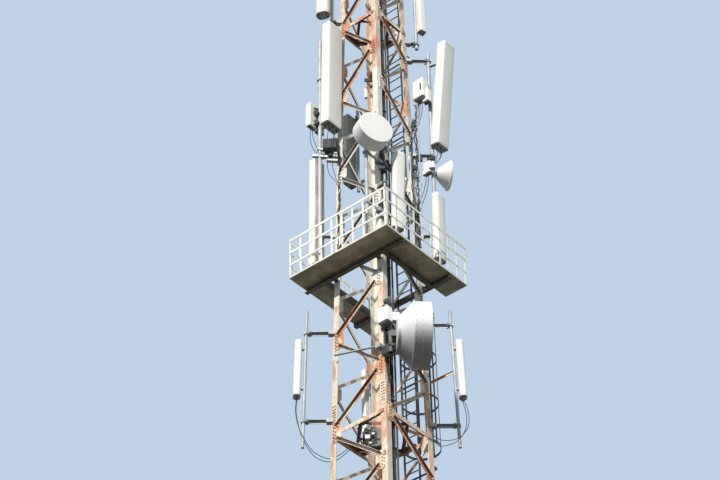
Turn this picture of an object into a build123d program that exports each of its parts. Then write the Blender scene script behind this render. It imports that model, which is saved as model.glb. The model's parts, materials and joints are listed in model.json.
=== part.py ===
"""Upper and lower bays of a square lattice cell tower, with its platform, ladder and antennas.

Frame: millimetres, +Z up, origin on the tower's axis at the underside of the base frame.
The faces of the mast look along -Y (near left), +X (near right), +Y (far right), -X (far left).
"""
import os
from math import atan2, cos, degrees, hypot, radians, sin, sqrt

from build123d import *

os.makedirs("parts", exist_ok=True)

# Mast
bay = 2000
bay_count = 7
base_width = 1314
top_width = 894
leg_size = 125
leg_thick = 12

# Feet
foot_size = 360
foot_thick = 25
foot_bar = 120
anchor_pitch = 240
anchor_radius = 13.5

# Face bracing
gusset_height = 380
gusset_reach = 130
gusset_seat = 80
gusset_chamfer = 90
gusset_thick = 10
brace_size = 60
brace_thick = 6
brace_gap = 110
brace_end = 12
strut_size = 85
strut_thick = 10
strut_cope = 345
strut_bays = (1, 6)
plan_size = 60
plan_thick = 8

# Leg splices
splice_size = 85
splice_thick = 10
splice_low = 2125
splice_length = 545

# Platform
deck_level = 5470
deck_width = 2340
deck_gap = 83
deck_thick = 6
toe_height = 40
beam_size = 85
beam_thick = 8
seat_width = 70
seat_height = 60
seat_drop = 10

# Railing
rail_height = 904
rail_lean = 21
rail_thick = 8
top_rail = 50
mid_rail = 40
mid_rails = 2
post_width = 40
post_count = 10
foot_clearance = 0.3

# Ladder and cage
ladder_width = 340
ladder_standoff = 170
stile_depth = 50
stile_thick = 10
rung_pitch = 250
rung_radius = 11
ladder_low = 300
ladder_tie = 40
cage_radius = 340
hoop_height = 50
hoop_thick = 6
hoop_pitch = 800
strap_width = 40
strap_angles = (-90, -45, 0, 45, 90)
cage_low = 2300
cage_high = 5300

# Cable ladder and feeders
rack_width = 190
rack_rail = 25
rack_low = 300
rack_rung_pitch = 1000
rack_clearance = 0.3
feeder_radius = 14
feeder_count = 5
feeder_pitch = 30

# Equipment pipes and arms
pipe_radius = 38
arm_size = 60
arm_thick = 6
pipe_clamp_wall = 12
pipe_clamp_height = 50
clamp_width = 110
clamp_height = 70
clamp_grip = 30
bracket_width = 60
bracket_height = 40
bracket_sink = 15
bracket_shares = (0.15, 0.85)

height = bay * bay_count
slope = (base_width - top_width) / 2 / height
slope_length = sqrt(1 + slope * slope)


def half(level):
    """Half the mast's width over its leg corners at a height."""
    return base_width / 2 - slope * level


def rise(level):
    """Distance up a face's slope to a height."""
    return level * slope_length


def face_plane(turn, offset=0):
    """Plane of one mast face, x to the right seen from outside and y up the slope."""
    out = (sin(radians(turn)), -cos(radians(turn)), slope)
    across = (cos(radians(turn)), sin(radians(turn)), 0)
    root = (out[0] * base_width / 2, out[1] * base_width / 2, 0)
    return Plane(origin=root, x_dir=across, z_dir=out).offset(offset)


def save(piece, name):
    """Label a finished piece and write it."""
    piece.part.label = name
    export_step(piece.part, "parts/" + name + ".step")


def corner_outline(reach, flange, thick, side_x, side_y):
    """Points of an angle section whose outer corner is at reach, in the given quadrant."""
    inner = reach - thick
    end = reach - flange
    points = [(reach, reach), (end, reach), (end, inner), (inner, inner), (inner, end), (reach, end)]
    return [(side_x * x, side_y * y) for x, y in points]


def tapered_angle(side_x, side_y, low, high, inset, flange, thick):
    """Angle that follows a leg: the same section at both ends, joined by flat faces."""
    with BuildPart() as angle:
        for level in (low, high):
            with BuildSketch(Plane.XY.offset(level)):
                with BuildLine():
                    Polyline(corner_outline(half(level) - inset, flange, thick, side_x, side_y), close=True)
                make_face()
        loft(ruled=True)
    return angle


def leg_envelope(side_x, side_y):
    """Full square corner of the mast, used to seat clamps on a leg's two outer faces."""
    with BuildPart() as corner:
        for level in (0, height):
            reach = half(level)
            with BuildSketch(Plane.XY.offset(level)):
                with Locations((side_x * (reach - leg_size / 2), side_y * (reach - leg_size / 2))):
                    Rectangle(leg_size, leg_size)
        loft(ruled=True)
    return corner.part


# Base frame: four foot plates joined by flat bars, with the anchor holes
foot_centre = half(0) - leg_size / 2
with BuildPart() as base_frame:
    with BuildSketch():
        with GridLocations(2 * foot_centre, 2 * foot_centre, 2, 2):
            Rectangle(foot_size, foot_size)
        Rectangle(2 * foot_centre + foot_bar, 2 * foot_centre + foot_bar)
        Rectangle(2 * foot_centre - foot_bar, 2 * foot_centre - foot_bar, mode=Mode.SUBTRACT)
        with GridLocations(2 * foot_centre, 2 * foot_centre, 2, 2):
            Rectangle(foot_size, foot_size)
        with GridLocations(2 * foot_centre, 2 * foot_centre, 2, 2):
            with GridLocations(anchor_pitch, anchor_pitch, 2, 2):
                Circle(anchor_radius, mode=Mode.SUBTRACT)
    extrude(amount=foot_thick)
save(base_frame, "base_frame")

# Legs: four angles that lean in together
leg_sides = {"left": (-1, -1), "near": (1, -1), "right": (1, 1), "back": (-1, 1)}
for side, (side_x, side_y) in leg_sides.items():
    save(tapered_angle(side_x, side_y, foot_thick, height, 0, leg_size, leg_thick), "leg_" + side)

# Leg splices: an inner cover angle in each leg
with BuildPart() as leg_splices:
    for side_x, side_y in leg_sides.values():
        cover = tapered_angle(side_x, side_y, splice_low, splice_low + splice_length,
                              leg_thick, splice_size, splice_thick)
        add(cover.part)
save(leg_splices, "leg_splices")


def gusset_outline(corner, level, side):
    """Gusset plate at a node: seated on the leg flange, with two cut corners on its free edge."""
    edge = corner - side * (leg_size - gusset_seat)
    free = corner - side * (leg_size + gusset_reach)
    top = rise(min(level + gusset_height / 2, height))
    low = rise(max(level - gusset_height / 2, foot_thick))
    chamfer = min(gusset_chamfer, (top - low) / 3)
    cut = side * chamfer
    return [(edge, top), (free + cut, top), (free, top - chamfer), (free, low + chamfer),
            (free + cut, low), (edge, low)]


def brace_ends(index):
    """Ends of one brace of the zigzag, from the left leg's nodes to the right leg's and back."""
    low = index * bay / 2 + brace_gap
    high = (index + 1) * bay / 2 - brace_gap
    side = -1 if index % 2 == 0 else 1
    inset = leg_size + brace_end
    return (side * (half(low) - inset), rise(low)), (-side * (half(high) - inset), rise(high))


def brace_section(index, width, shift):
    """Strip along one brace, moved across it towards its upper edge."""
    (x0, y0), (x1, y1) = brace_ends(index)
    length = hypot(x1 - x0, y1 - y0)
    normal = ((y0 - y1) / length, (x1 - x0) / length)
    if normal[1] < 0:
        normal = (-normal[0], -normal[1])
    middle = ((x0 + x1) / 2 + normal[0] * shift, (y0 + y1) / 2 + normal[1] * shift)
    with Locations(middle):
        Rectangle(length, width, rotation=degrees(atan2(y1 - y0, x1 - x0)))


def strut(level, start, end, width, shift=0):
    """Strip across the face at a height, its ends given from the left and right leg corners."""
    left, right = start - half(level), half(level) - end
    with Locations(((left + right) / 2, rise(level) + shift)):
        Rectangle(right - left, width)


def face_bracing(turn):
    """Bracing of one face: gussets at alternate nodes, zigzag angles and the main struts."""
    strut_levels = [index * bay for index in strut_bays] + [height - strut_size / 2]
    with BuildPart() as face:
        with BuildSketch(face_plane(turn)):
            for index in range(2 * bay_count + 1):
                level = index * bay / 2
                side = -1 if index % 2 == 0 else 1
                with BuildLine():
                    Polyline(gusset_outline(side * half(level), level, side), close=True)
                make_face()
            for level in strut_levels:
                strut(level, leg_size + gusset_reach, leg_size - gusset_seat, strut_size)
        extrude(amount=gusset_thick)
        with BuildSketch(face_plane(turn, gusset_thick)):
            for index in range(2 * bay_count):
                brace_section(index, brace_size, 0)
        extrude(amount=brace_thick)
        with BuildSketch(face_plane(turn, gusset_thick)):
            for index in range(2 * bay_count):
                brace_section(index, brace_thick, (brace_size - brace_thick) / 2)
        extrude(amount=brace_size)
        with BuildSketch(face_plane(turn)):
            for level in strut_levels:
                strut(level, strut_cope, leg_size + brace_end, strut_thick, (strut_size - strut_thick) / 2)
        extrude(amount=-strut_size)
    return face


for turn, name in ((0, "near_left"), (90, "near_right"), (180, "far_right"), (270, "far_left")):
    save(face_bracing(turn), "bracing_" + name)


def diaphragm(level):
    """Diamond of four bars under the inner flanges of the struts, from face middle to face middle."""
    seat = level + strut_size / 2 - strut_thick - slope * strut_size
    reach = half(level) - strut_thick
    with BuildPart() as frame:
        with BuildSketch(Plane.XY.offset(seat)):
            RegularPolygon(reach, 4)
            RegularPolygon(reach - plan_size * sqrt(2), 4, mode=Mode.SUBTRACT)
        extrude(amount=-plan_thick)
        with BuildSketch(Plane.XY.offset(seat)):
            RegularPolygon(reach, 4)
            RegularPolygon(reach - plan_thick * sqrt(2), 4, mode=Mode.SUBTRACT)
        extrude(amount=-plan_size)
    return frame


with BuildPart() as diaphragms:
    for strut_bay in strut_bays:
        add(diaphragm(strut_bay * bay).part)
save(diaphragms, "diaphragms")

# Platform beams: two long beams across, two short ones between them, on seats at the legs
deck_edge = deck_width / 2
deck_inner = half(deck_level) + deck_gap
beam_low = deck_level - beam_size


def cross_beam(side):
    """Long beam along X with its lower flange turned outwards."""
    with BuildPart() as beam:
        with BuildSketch(Plane.YZ.offset(-deck_edge)):
            with Locations((side * (deck_inner + beam_thick / 2), deck_level - beam_size / 2)):
                Rectangle(beam_thick, beam_size)
            with Locations((side * (deck_inner + beam_size / 2), beam_low + beam_thick / 2)):
                Rectangle(beam_size, beam_thick)
        extrude(amount=deck_width)
    return beam


def side_beam(side):
    """Short beam along Y between the two long ones, with its lower flange turned outwards."""
    with BuildPart() as beam:
        with BuildSketch(Plane.XZ.offset(-deck_inner)):
            with Locations((side * (deck_inner + beam_thick / 2), deck_level - beam_size / 2)):
                Rectangle(beam_thick, beam_size)
            with Locations((side * (deck_inner + beam_size / 2), beam_low + beam_thick / 2)):
                Rectangle(beam_size, beam_thick)
        extrude(amount=2 * deck_inner)
    return beam


with BuildPart() as cross_beams:
    add(cross_beam(-1).part)
    add(cross_beam(1).part)
save(cross_beams, "platform_cross_beams")
with BuildPart() as side_beams:
    add(side_beam(-1).part)
    add(side_beam(1).part)
save(side_beams, "platform_side_beams")

seat_top = deck_level - seat_drop
seat_reach = half(seat_top - seat_height)
with BuildPart() as platform_seats:
    for side_x, side_y in leg_sides.values():
        with Locations((side_x * (seat_reach - leg_size / 2), side_y * (seat_reach + deck_inner) / 2,
                        seat_top - seat_height / 2)):
            Box(seat_width, deck_inner - seat_reach, seat_height)
save(platform_seats, "platform_seats")


def deck(low_x, high_x, low_y, high_y, toes):
    """Deck sheet with an upstand along each named outer edge."""
    width, depth = high_x - low_x, high_y - low_y
    centre = ((low_x + high_x) / 2, (low_y + high_y) / 2)
    with BuildPart() as strip:
        with BuildSketch(Plane.XY.offset(deck_level)):
            with Locations(centre):
                Rectangle(width, depth)
        extrude(amount=deck_thick)
        with BuildSketch(Plane.XY.offset(deck_level)):
            for toe in toes:
                if toe in ("west", "east"):
                    edge = low_x + deck_thick / 2 if toe == "west" else high_x - deck_thick / 2
                    with Locations((edge, centre[1])):
                        Rectangle(deck_thick, depth)
                else:
                    edge = low_y + deck_thick / 2 if toe == "south" else high_y - deck_thick / 2
                    with Locations((centre[0], edge)):
                        Rectangle(width, deck_thick)
        extrude(amount=toe_height)
    return strip


save(deck(-deck_edge, deck_edge, -deck_edge, -deck_inner, ("west", "south", "east")), "deck_near_left")
save(deck(-deck_edge, -deck_inner, -deck_inner, deck_edge, ("west", "north")), "deck_far_left")
save(deck(deck_inner, deck_edge, -deck_inner, deck_edge, ("east", "north")), "deck_near_right")


def railing(turn, start, end):
    """Railing panel that leans out a little: flat posts inside, flat rails outside."""
    lean = rail_lean / rail_height
    out = (sin(radians(turn)), -cos(radians(turn)), -lean)
    across = (cos(radians(turn)), sin(radians(turn)), 0)
    seat = deck_edge - deck_thick
    root = (sin(radians(turn)) * seat, -cos(radians(turn)) * seat, deck_level + toe_height)
    plane = Plane(origin=root, x_dir=across, z_dir=out)
    low = deck_thick + foot_clearance - toe_height
    high = rail_height - toe_height
    step = (end - start - post_width) / (post_count - 1)
    with BuildPart() as panel:
        with BuildSketch(plane):
            for index in range(post_count):
                with Locations((start + post_width / 2 + index * step, (low + high) / 2)):
                    Rectangle(post_width, high - low)
        extrude(amount=-rail_thick)
        with BuildSketch(plane):
            with Locations(((start + end) / 2, high - top_rail / 2)):
                Rectangle(end - start, top_rail)
            for index in range(mid_rails):
                level = (index + 1) * high / (mid_rails + 1) - mid_rail / 2
                with Locations(((start + end) / 2, level)):
                    Rectangle(end - start, mid_rail)
        extrude(amount=rail_thick)
    return panel


corner_gap = deck_thick + 2 * rail_thick
save(railing(0, deck_thick - deck_edge, deck_edge - deck_thick), "railing_near_left")
save(railing(90, corner_gap - deck_edge, deck_edge - deck_thick), "railing_near_right")
save(railing(270, deck_thick - deck_edge, deck_edge - corner_gap), "railing_far_left")

# Ladder on the far right face, with ties to the face and round rungs
ladder_turn = 180
ladder_high = height
ladder_back = ladder_standoff
ladder_middle = ladder_back + stile_depth / 2
with BuildPart() as ladder:
    with BuildSketch(face_plane(ladder_turn, ladder_back)):
        for side in (-1, 1):
            with Locations((side * (ladder_width - stile_thick) / 2, (ladder_low + ladder_high) / 2)):
                Rectangle(stile_thick, ladder_high - ladder_low)
    extrude(amount=stile_depth)
    rung_count = int((ladder_high - ladder_low) / rung_pitch)
    plane = face_plane(ladder_turn, ladder_middle)
    side_plane = Plane(origin=plane.from_local_coords((-ladder_width / 2 + stile_thick / 2, 0, 0)),
                       x_dir=plane.y_dir, z_dir=plane.x_dir)
    with BuildSketch(side_plane):
        for index in range(rung_count):
            with Locations((ladder_low + (index + 0.5) * rung_pitch, 0)):
                RegularPolygon(rung_radius, 8)
    extrude(amount=ladder_width - stile_thick)
save(ladder, "ladder")

# Ladder ties: flat arms from the legs' flanges out to the stiles, under each strut and node level
with BuildPart() as ladder_ties:
    for index in range(1, bay_count + 1):
        level = index * bay - bay / 4
        with BuildSketch(face_plane(ladder_turn, ladder_back)):
            with Locations((0, level)):
                Rectangle(2 * half(level) - leg_size, ladder_tie)
        extrude(amount=-rail_thick)
        with BuildSketch(face_plane(ladder_turn)):
            for side in (-1, 1):
                with Locations((side * (half(level) - leg_size / 2 - rail_thick / 2), level)):
                    Rectangle(rail_thick, ladder_tie)
        extrude(amount=ladder_back - rail_thick / 2)
save(ladder_ties, "ladder_ties")


def cage(low, high):
    """Safety cage: flat hoops that end on the stiles' fronts, joined by upright straps inside them."""
    middle = ladder_back + stile_depth
    seat = (ladder_width - stile_thick) / 2
    cage_reach = sqrt((cage_radius - hoop_thick / 2) ** 2 - seat ** 2)
    hoops = int((high - low - hoop_height) / hoop_pitch) + 1
    pitch = (high - low - hoop_height) / (hoops - 1)
    root = face_plane(ladder_turn)
    with BuildPart() as guard:
        for index in range(hoops):
            level = low + index * pitch
            plane = Plane(origin=root.from_local_coords((0, level, 0)), x_dir=root.x_dir, z_dir=root.y_dir)
            with BuildSketch(plane):
                with Locations((0, -(middle + cage_reach))):
                    Circle(cage_radius)
                    Circle(cage_radius - hoop_thick, mode=Mode.SUBTRACT)
                with Locations((0, -(middle - cage_radius))):
                    Rectangle(2 * cage_radius, 2 * cage_radius, mode=Mode.SUBTRACT)
            extrude(amount=hoop_height)
        plane = Plane(origin=root.from_local_coords((0, low, 0)), x_dir=root.x_dir, z_dir=root.y_dir)
        with BuildSketch(plane):
            for angle in strap_angles:
                reach = cage_radius - 1.5 * hoop_thick
                spot = (reach * sin(radians(angle)), -(middle + cage_reach) - reach * cos(radians(angle)))
                with Locations(spot):
                    Rectangle(strap_width, hoop_thick + 2, rotation=angle)
        extrude(amount=high - low)
    return guard


save(cage(cage_low, cage_high), "ladder_cage")


def sheared_bar(near, far, width, depth, low, high):
    """Bar beside the near leg: near and far are its place from the leg's corner along Y and X."""
    with BuildPart() as bar:
        for level in (low, high):
            with BuildSketch(Plane.XY.offset(level)):
                with Locations((half(level) - far, near - half(level))):
                    Rectangle(depth, width)
        loft(ruled=True)
    return bar.part


# Cable ladder inside the near right face, clamped on the near leg's flange
rack_first = leg_size - rack_rail / 2
with BuildPart() as cable_ladder:
    for place in (rack_first, rack_first + rack_width):
        add(sheared_bar(place, leg_thick + rack_rail / 2, rack_rail, rack_rail, rack_low, height - rack_low))
    rung_total = int((height - 2 * rack_low) / rack_rung_pitch) + 1
    for index in range(rung_total):
        level = rack_low + rack_rail + index * rack_rung_pitch
        reach = half(level)
        depth = leg_thick + rack_rail - rack_clearance - rack_rail / 4
        with Locations((reach - depth, rack_first + rack_width / 2 - reach, level)):
            Box(rack_rail / 2, rack_width, rack_rail)
save(cable_ladder, "cable_ladder")

# Feeder cables clipped side by side on the inside of the cable ladder
with BuildPart() as feeder_cables:
    start = rack_first + rack_width / 2 - (feeder_count - 1) * feeder_pitch / 2
    for index in range(feeder_count):
        for level in (rack_low, height - rack_low):
            with BuildSketch(Plane.XY.offset(level)):
                inward = leg_thick + rack_rail + feeder_radius
                with Locations((half(level) - inward, start + index * feeder_pitch - half(level))):
                    RegularPolygon(feeder_radius, 8)
        loft(ruled=True)
save(feeder_cables, "feeder_cables")


class Panel:
    """Panel antenna or radio unit: a box with rounded upright edges, its back middle at x, y."""

    def __init__(self, x, y, low, high, width, depth, turn, tilt=0, rounding=0.2):
        self.x, self.y, self.tilt = x, y, tilt
        self.low, self.high = low, high
        self.front = (sin(radians(turn)), -cos(radians(turn)))
        length = high - low
        with BuildPart() as self.shape:
            with Locations(Location((x, y, (low + high) / 2), (0, 0, turn))):
                with Locations(Location((0, 0, 0), (tilt, 0, 0))):
                    with Locations((0, -depth / 2, 0)):
                        Box(width, depth, length)
            fillet(self.shape.edges().filter_by(self.is_upright), rounding * min(width, depth))

    def is_upright(self, edge):
        """True for the four long edges."""
        return abs(edge.length - (self.high - self.low)) < 1

    def seat(self, level):
        """Place on the back at a height, one bracket thickness inside it."""
        lean = sin(radians(self.tilt)) * (level - (self.low + self.high) / 2) + bracket_sink
        return self.x + self.front[0] * lean, self.y + self.front[1] * lean


def bar_between(start, end, level, width, depth):
    """Level bar from one plan point to another."""
    reach = hypot(end[0] - start[0], end[1] - start[1])
    angle = degrees(atan2(end[1] - start[1], end[0] - start[0]))
    with Locations(Location((start[0], start[1], level), (0, 0, angle))):
        with Locations((reach / 2, 0, 0)):
            Box(reach, width, depth)


def angle_arm(start, end, level, down_side):
    """Level angle from one plan point to another: one flange flat on top, the other down one side."""
    reach = hypot(end[0] - start[0], end[1] - start[1])
    angle = degrees(atan2(end[1] - start[1], end[0] - start[0]))
    with Locations(Location((start[0], start[1], level), (0, 0, angle))):
        with Locations((reach / 2, 0, (arm_size - arm_thick) / 2)):
            Box(reach, arm_size, arm_thick)
        with Locations((reach / 2, down_side * (arm_size - arm_thick) / 2, 0)):
            Box(reach, arm_thick, arm_size)


def pole(x, y, low, high, side, arm_levels, panels, radius=pipe_radius, lean=0):
    """Pipe with angle arms to a leg and brackets to the panels that it carries.

    Each arm has a clamp on the pipe and ends in one that seats on the leg's two outer faces.
    The lean is how far the pipe's foot stands out from its head, as a share of its height.
    """
    side_x, side_y = leg_sides[side]
    middle = (low + high) / 2

    def spot(level):
        return x + side_x * lean * (middle - level), y + side_y * lean * (middle - level)

    with BuildPart() as piece:
        with Locations(Location((x, y, middle), (degrees(side_y * lean), -degrees(side_x * lean), 0))):
            Cylinder(radius, high - low)
        for level in arm_levels:
            corner = (side_x * half(level), side_y * half(level))
            start = spot(level)
            angle = degrees(atan2(corner[1] - start[1], corner[0] - start[0]))
            angle_arm(start, corner, level, -side_x)
            with Locations(Location((start[0], start[1], level), (0, 0, angle))):
                clamp = 2 * (radius + pipe_clamp_wall)
                Box(clamp, clamp, pipe_clamp_height)
            with Locations(Location((corner[0], corner[1], level), (0, 0, angle))):
                with Locations((-clamp_grip, 0, 0)):
                    Box(4 * clamp_grip, clamp_width, clamp_height)
        add(leg_envelope(side_x, side_y), mode=Mode.SUBTRACT)
        for panel in panels:
            for share in bracket_shares:
                level = panel.low + share * (panel.high - panel.low)
                bar_between(spot(level), panel.seat(level), level, bracket_width, bracket_height)
        for panel in panels:
            add(panel.shape.part, mode=Mode.SUBTRACT)
    return piece


# Panel antennas, each a place, two heights, a section, a heading, a tilt and a rounding
leg_lean = slope * sqrt(2)
panels = {
    "panel_left_large": Panel(-530, -810, 9080, 11810, 430, 215, 90, 1),
    "panel_left_tall": Panel(-845, -682, 5900, 8520, 300, 160, 270),
    "panel_left_top": Panel(-635, -760, 12250, 13950, 290, 240, 20, 0, 0.45),
    "panel_left_low": Panel(-1022, -972, 2820, 4070, 190, 140, 315, -degrees(leg_lean), 0.4),
    "panel_right_large": Panel(965, 845, 8850, 11500, 350, 215, 90, 6.4),
    "panel_right_deck": Panel(850, 690, 5900, 7530, 290, 170, 90, 1, 0.45),
    "panel_right_top": Panel(672, 690, 12030, 13950, 160, 150, 75),
    "panel_right_low": Panel(1000, 950, 2880, 4160, 190, 140, 135, -degrees(leg_lean), 0.4),
    "panel_near_deck": Panel(785, -370, 6080, 7900, 260, 140, 70, 4, 0.45),
    "panel_far_low": Panel(-750, 545, 2790, 4120, 160, 100, 270),
    "panel_far_large": Panel(-835, 300, 8580, 10400, 270, 160, 270),
}
for name, panel in panels.items():
    save(panel.shape, name)

# Radio units behind the panels
radios_left = [Panel(-835, y, 9280, 9900, 200, 130, 270, 0, 0.1) for y in (-650, -890)]
radios_right = [Panel(740, 700, 10050, 10560, 270, 240, 0, 0, 0.1), Panel(850, 700, 9950, 10300, 150, 150, 0, 0, 0.1)]
with BuildPart() as radio_units:
    for radio in (*radios_left, *radios_right):
        add(radio.shape.part)
save(radio_units, "radio_units")

# Pipes on the legs: the two low ones lean as the legs do
deck_top = deck_level + deck_thick
with BuildPart() as poles_left:
    add(pole(-775, -760, deck_top, 11680, "left", (6500, 8550, 10600),
             [panels["panel_left_tall"], *radios_left]).part)
    add(pole(-640, -790, 9200, 11700, "left", (9450, 11450), [panels["panel_left_large"]]).part)
    add(pole(-580, -605, 12050, 13900, "left", (12250, 13500), [panels["panel_left_top"]]).part)
save(poles_left, "poles_left")
save(pole(-980, -930, 1750, 4740, "left", (2300, 4230), [panels["panel_left_low"]], 30, slope), "pole_left_low")
save(pole(965, 916, 1820, 4840, "right", (2280, 4490), [panels["panel_right_low"]], 30, slope), "pole_right_low")
with BuildPart() as poles_near:
    add(pole(704, -366, deck_top, 7850, "near", (6400, 7600), [panels["panel_near_deck"]], 30).part)
    add(pole(690, -590, deck_top, 7350, "near", (6700, 7150), [], 25).part)
save(poles_near, "poles_near")
with BuildPart() as poles_far:
    add(pole(-706, 545, 2300, 4300, "back", (2500, 4250), [panels["panel_far_low"]], 22).part)
    add(pole(-780, 400, 8400, 10700, "back", (8650, 10350), [panels["panel_far_large"]], 30).part)
save(poles_far, "poles_far")


def aim_plane(x, y, level, heading):
    """Plane through a dish's axis: x along the axis out of its front, y up."""
    out = (cos(radians(heading)), sin(radians(heading)), 0)
    return Plane(origin=(x, y, level), x_dir=out, z_dir=(out[1], -out[0], 0))


def axis_point(plane, along):
    """Plan point on a dish's axis."""
    spot = plane.from_local_coords((along, 0, 0))
    return spot.X, spot.Y


def turned(plane, points):
    """Solid turned about a dish's axis from points given along the axis and out from it."""
    with BuildPart() as piece:
        with BuildSketch(plane):
            with BuildLine():
                Polyline(points, close=True)
            make_face()
        revolve(axis=Axis(plane.origin, plane.x_dir))
    return piece


# Large dish: hub and reflector cone at the back, deep shroud, radome held by a rim band
dish_radius = 600
dish_depth = 300
dish_cone = 218
dish_hub_radius = 350
dish_hub_depth = 65
dish_step = 22
dish_wall = 6
dish_flange = 20
dish_rim = 40
dish_level = 3430
dish_plane = aim_plane(1312, -231, dish_level, 45)
dish_back = dish_depth + dish_cone + dish_hub_depth
save(turned(dish_plane, [(-dish_depth, dish_radius - dish_wall), (0, dish_radius - dish_wall),
                         (0, dish_radius), (-dish_depth, dish_radius)]), "dish_shroud")
save(turned(dish_plane, [(-dish_depth, 0), (-dish_depth, dish_radius), (-dish_depth - dish_flange, dish_radius),
                         (-dish_depth - dish_flange, dish_radius - dish_step),
                         (-dish_depth - dish_cone, dish_hub_radius), (-dish_back, dish_hub_radius),
                         (-dish_back, 0)]), "dish_reflector")
save(turned(dish_plane, [(0, 0), (0, dish_radius), (-dish_rim, dish_radius), (-dish_rim, dish_radius + dish_wall),
                         (dish_wall, dish_radius + dish_wall), (3 * dish_wall, 0)]), "dish_radome")

# Dish mount: an upright pipe clamped to the near leg, with a yoke to the back of the reflector
dish_standoff = 100
dish_pipe = axis_point(dish_plane, -dish_back - dish_standoff)
dish_radio = Panel(dish_pipe[0] - 20, dish_pipe[1] - pipe_radius, 3600, 3930, 240, 170, 0, 0, 0.1)
with BuildPart() as dish_mount:
    add(pole(*dish_pipe, 3050, 4250, "near", (3200, 3750), []).part)
    bar_between(dish_pipe, axis_point(dish_plane, -dish_back), dish_level, 2 * arm_size, 2 * arm_size)
    add(dish_radio.shape.part, mode=Mode.SUBTRACT)
save(dish_mount, "dish_mount")

# Drum antenna: a short drum with a flat radome, on a pipe that stands on the deck
drum_radius = 355
drum_depth = 320
drum_level = 8040
drum_plane = aim_plane(942, -1103, drum_level, -22.5)
save(turned(drum_plane, [(-drum_depth, 0), (0, 0), (0, drum_radius), (-drum_depth, drum_radius)]), "drum_antenna")
drum_standoff = 120
drum_pipe = axis_point(drum_plane, -drum_depth - drum_standoff)
with BuildPart() as pole_drum:
    add(pole(*drum_pipe, deck_top, 8350, "near", (6500, 7750), []).part)
    bar_between(drum_pipe, axis_point(drum_plane, -drum_depth), drum_level, arm_size, 2 * arm_size)
save(pole_drum, "pole_drum")

# Small dish on a stub from the tall right pole
small_pole = (800, 775)
small_level = 8200
small_heading = 52
small_radius = 300
small_rim = 40
small_depth = 270
small_back_radius = 80
small_standoff = 60
small_front = small_standoff + small_depth
small_plane = aim_plane(small_pole[0] + small_front * cos(radians(small_heading)),
                        small_pole[1] + small_front * sin(radians(small_heading)), small_level, small_heading)
save(turned(small_plane, [(0, 0), (0, small_radius), (-small_rim, small_radius),
                          (-small_depth, small_back_radius), (-small_depth, 0)]), "small_dish")
small_radio = Panel(small_pole[0] - 30, small_pole[1] - pipe_radius, 8130, 8430, 170, 130, 0, 0, 0.1)
with BuildPart() as poles_right:
    add(pole(*small_pole, deck_top, 11450, "right", (6600, 8650, 11240),
             [panels["panel_right_large"], panels["panel_right_deck"], *radios_right]).part)
    bar_between(small_pole, axis_point(small_plane, -small_depth), small_level, arm_size, arm_size)
    add(small_radio.shape.part, mode=Mode.SUBTRACT)
    add(pole(615, 648, 11620, 13950, "right", (11750, 13400), [panels["panel_right_top"]]).part)
save(poles_right, "poles_right")
with BuildPart() as dish_radios:
    add(dish_radio.shape.part)
    add(small_radio.shape.part)
save(dish_radios, "dish_radios")

# Cable boom: a thin pipe that rises along the near left face from a clamp on the near leg
boom_level = 3330
boom_reach = 120
boom_radius = 20
boom_length = 1050
boom_rise = 16
with BuildPart() as cable_boom:
    seat = half(boom_level)
    with Locations((seat - leg_size / 2, -seat - boom_reach / 2, boom_level)):
        Box(clamp_width, boom_reach, clamp_height)
    root = (seat - leg_size / 2, boom_radius - seat - boom_reach, boom_level)
    with Locations(Location(root, (0, boom_rise - 90, 0))):
        with Locations((0, 0, boom_length / 2)):
            Cylinder(boom_radius, boom_length)
    add(leg_envelope(1, -1), mode=Mode.SUBTRACT)
save(cable_boom, "cable_boom")

# Junction box on the lower diaphragm
box_seat = strut_bays[0] * bay + strut_size / 2 - strut_thick - slope * strut_size
with BuildPart() as junction_box:
    with Locations(Location((-290, 290, box_seat + 190), (0, 0, 45))):
        Box(300, 200, 380)
save(junction_box, "junction_box")
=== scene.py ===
"""Dresses a lattice cell tower: aged paint, galvanised fittings, radomes, fasteners, cables and the stage.

Everything is in metres, +Z up, with the origin on the tower's axis at the underside of its base frame.
Plan headings count from -Y towards +X, so 0 looks along -Y and 90 along +X.
"""

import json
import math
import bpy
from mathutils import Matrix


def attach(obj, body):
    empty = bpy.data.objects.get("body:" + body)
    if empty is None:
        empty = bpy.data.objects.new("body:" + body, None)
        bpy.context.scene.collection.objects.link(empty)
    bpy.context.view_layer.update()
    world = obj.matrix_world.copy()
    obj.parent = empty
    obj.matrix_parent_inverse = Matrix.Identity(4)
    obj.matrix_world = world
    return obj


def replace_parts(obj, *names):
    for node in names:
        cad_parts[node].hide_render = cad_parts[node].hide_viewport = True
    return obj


bl_info = {
    "name": "Cell tower finishes and fittings",
    "version": (1, 0, 0),
    "blender": (4, 5, 0),
    "location": "View3D > Sidebar > Tower",
    "description": "Paint, radomes, fasteners and cables for a lattice cell tower with a platform",
    "category": "Object",
}

import bpy
import numpy as np
from mathutils import Matrix

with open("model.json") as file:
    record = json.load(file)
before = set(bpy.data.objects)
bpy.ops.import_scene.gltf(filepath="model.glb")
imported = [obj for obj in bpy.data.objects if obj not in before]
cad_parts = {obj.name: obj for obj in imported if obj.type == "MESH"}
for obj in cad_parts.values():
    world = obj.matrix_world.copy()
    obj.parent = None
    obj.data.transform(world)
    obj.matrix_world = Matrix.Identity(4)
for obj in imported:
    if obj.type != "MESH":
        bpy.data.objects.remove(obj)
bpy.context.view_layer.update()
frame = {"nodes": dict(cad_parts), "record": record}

# The mast: width over its leg corners at foot and top, height, height of a bay, thickness of its plates.
BASE_WIDTH = 1.314
TOP_WIDTH = 0.894
HEIGHT = 14.0
BAY = 2.0
SLOPE = (BASE_WIDTH - TOP_WIDTH) / 2 / HEIGHT
GUSSET_THICK = 0.010
BRACE_THICK = 0.006
STRUT_THICK = 0.010
FACE_TURNS = (0.0, 90.0, 180.0, 270.0)

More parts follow.
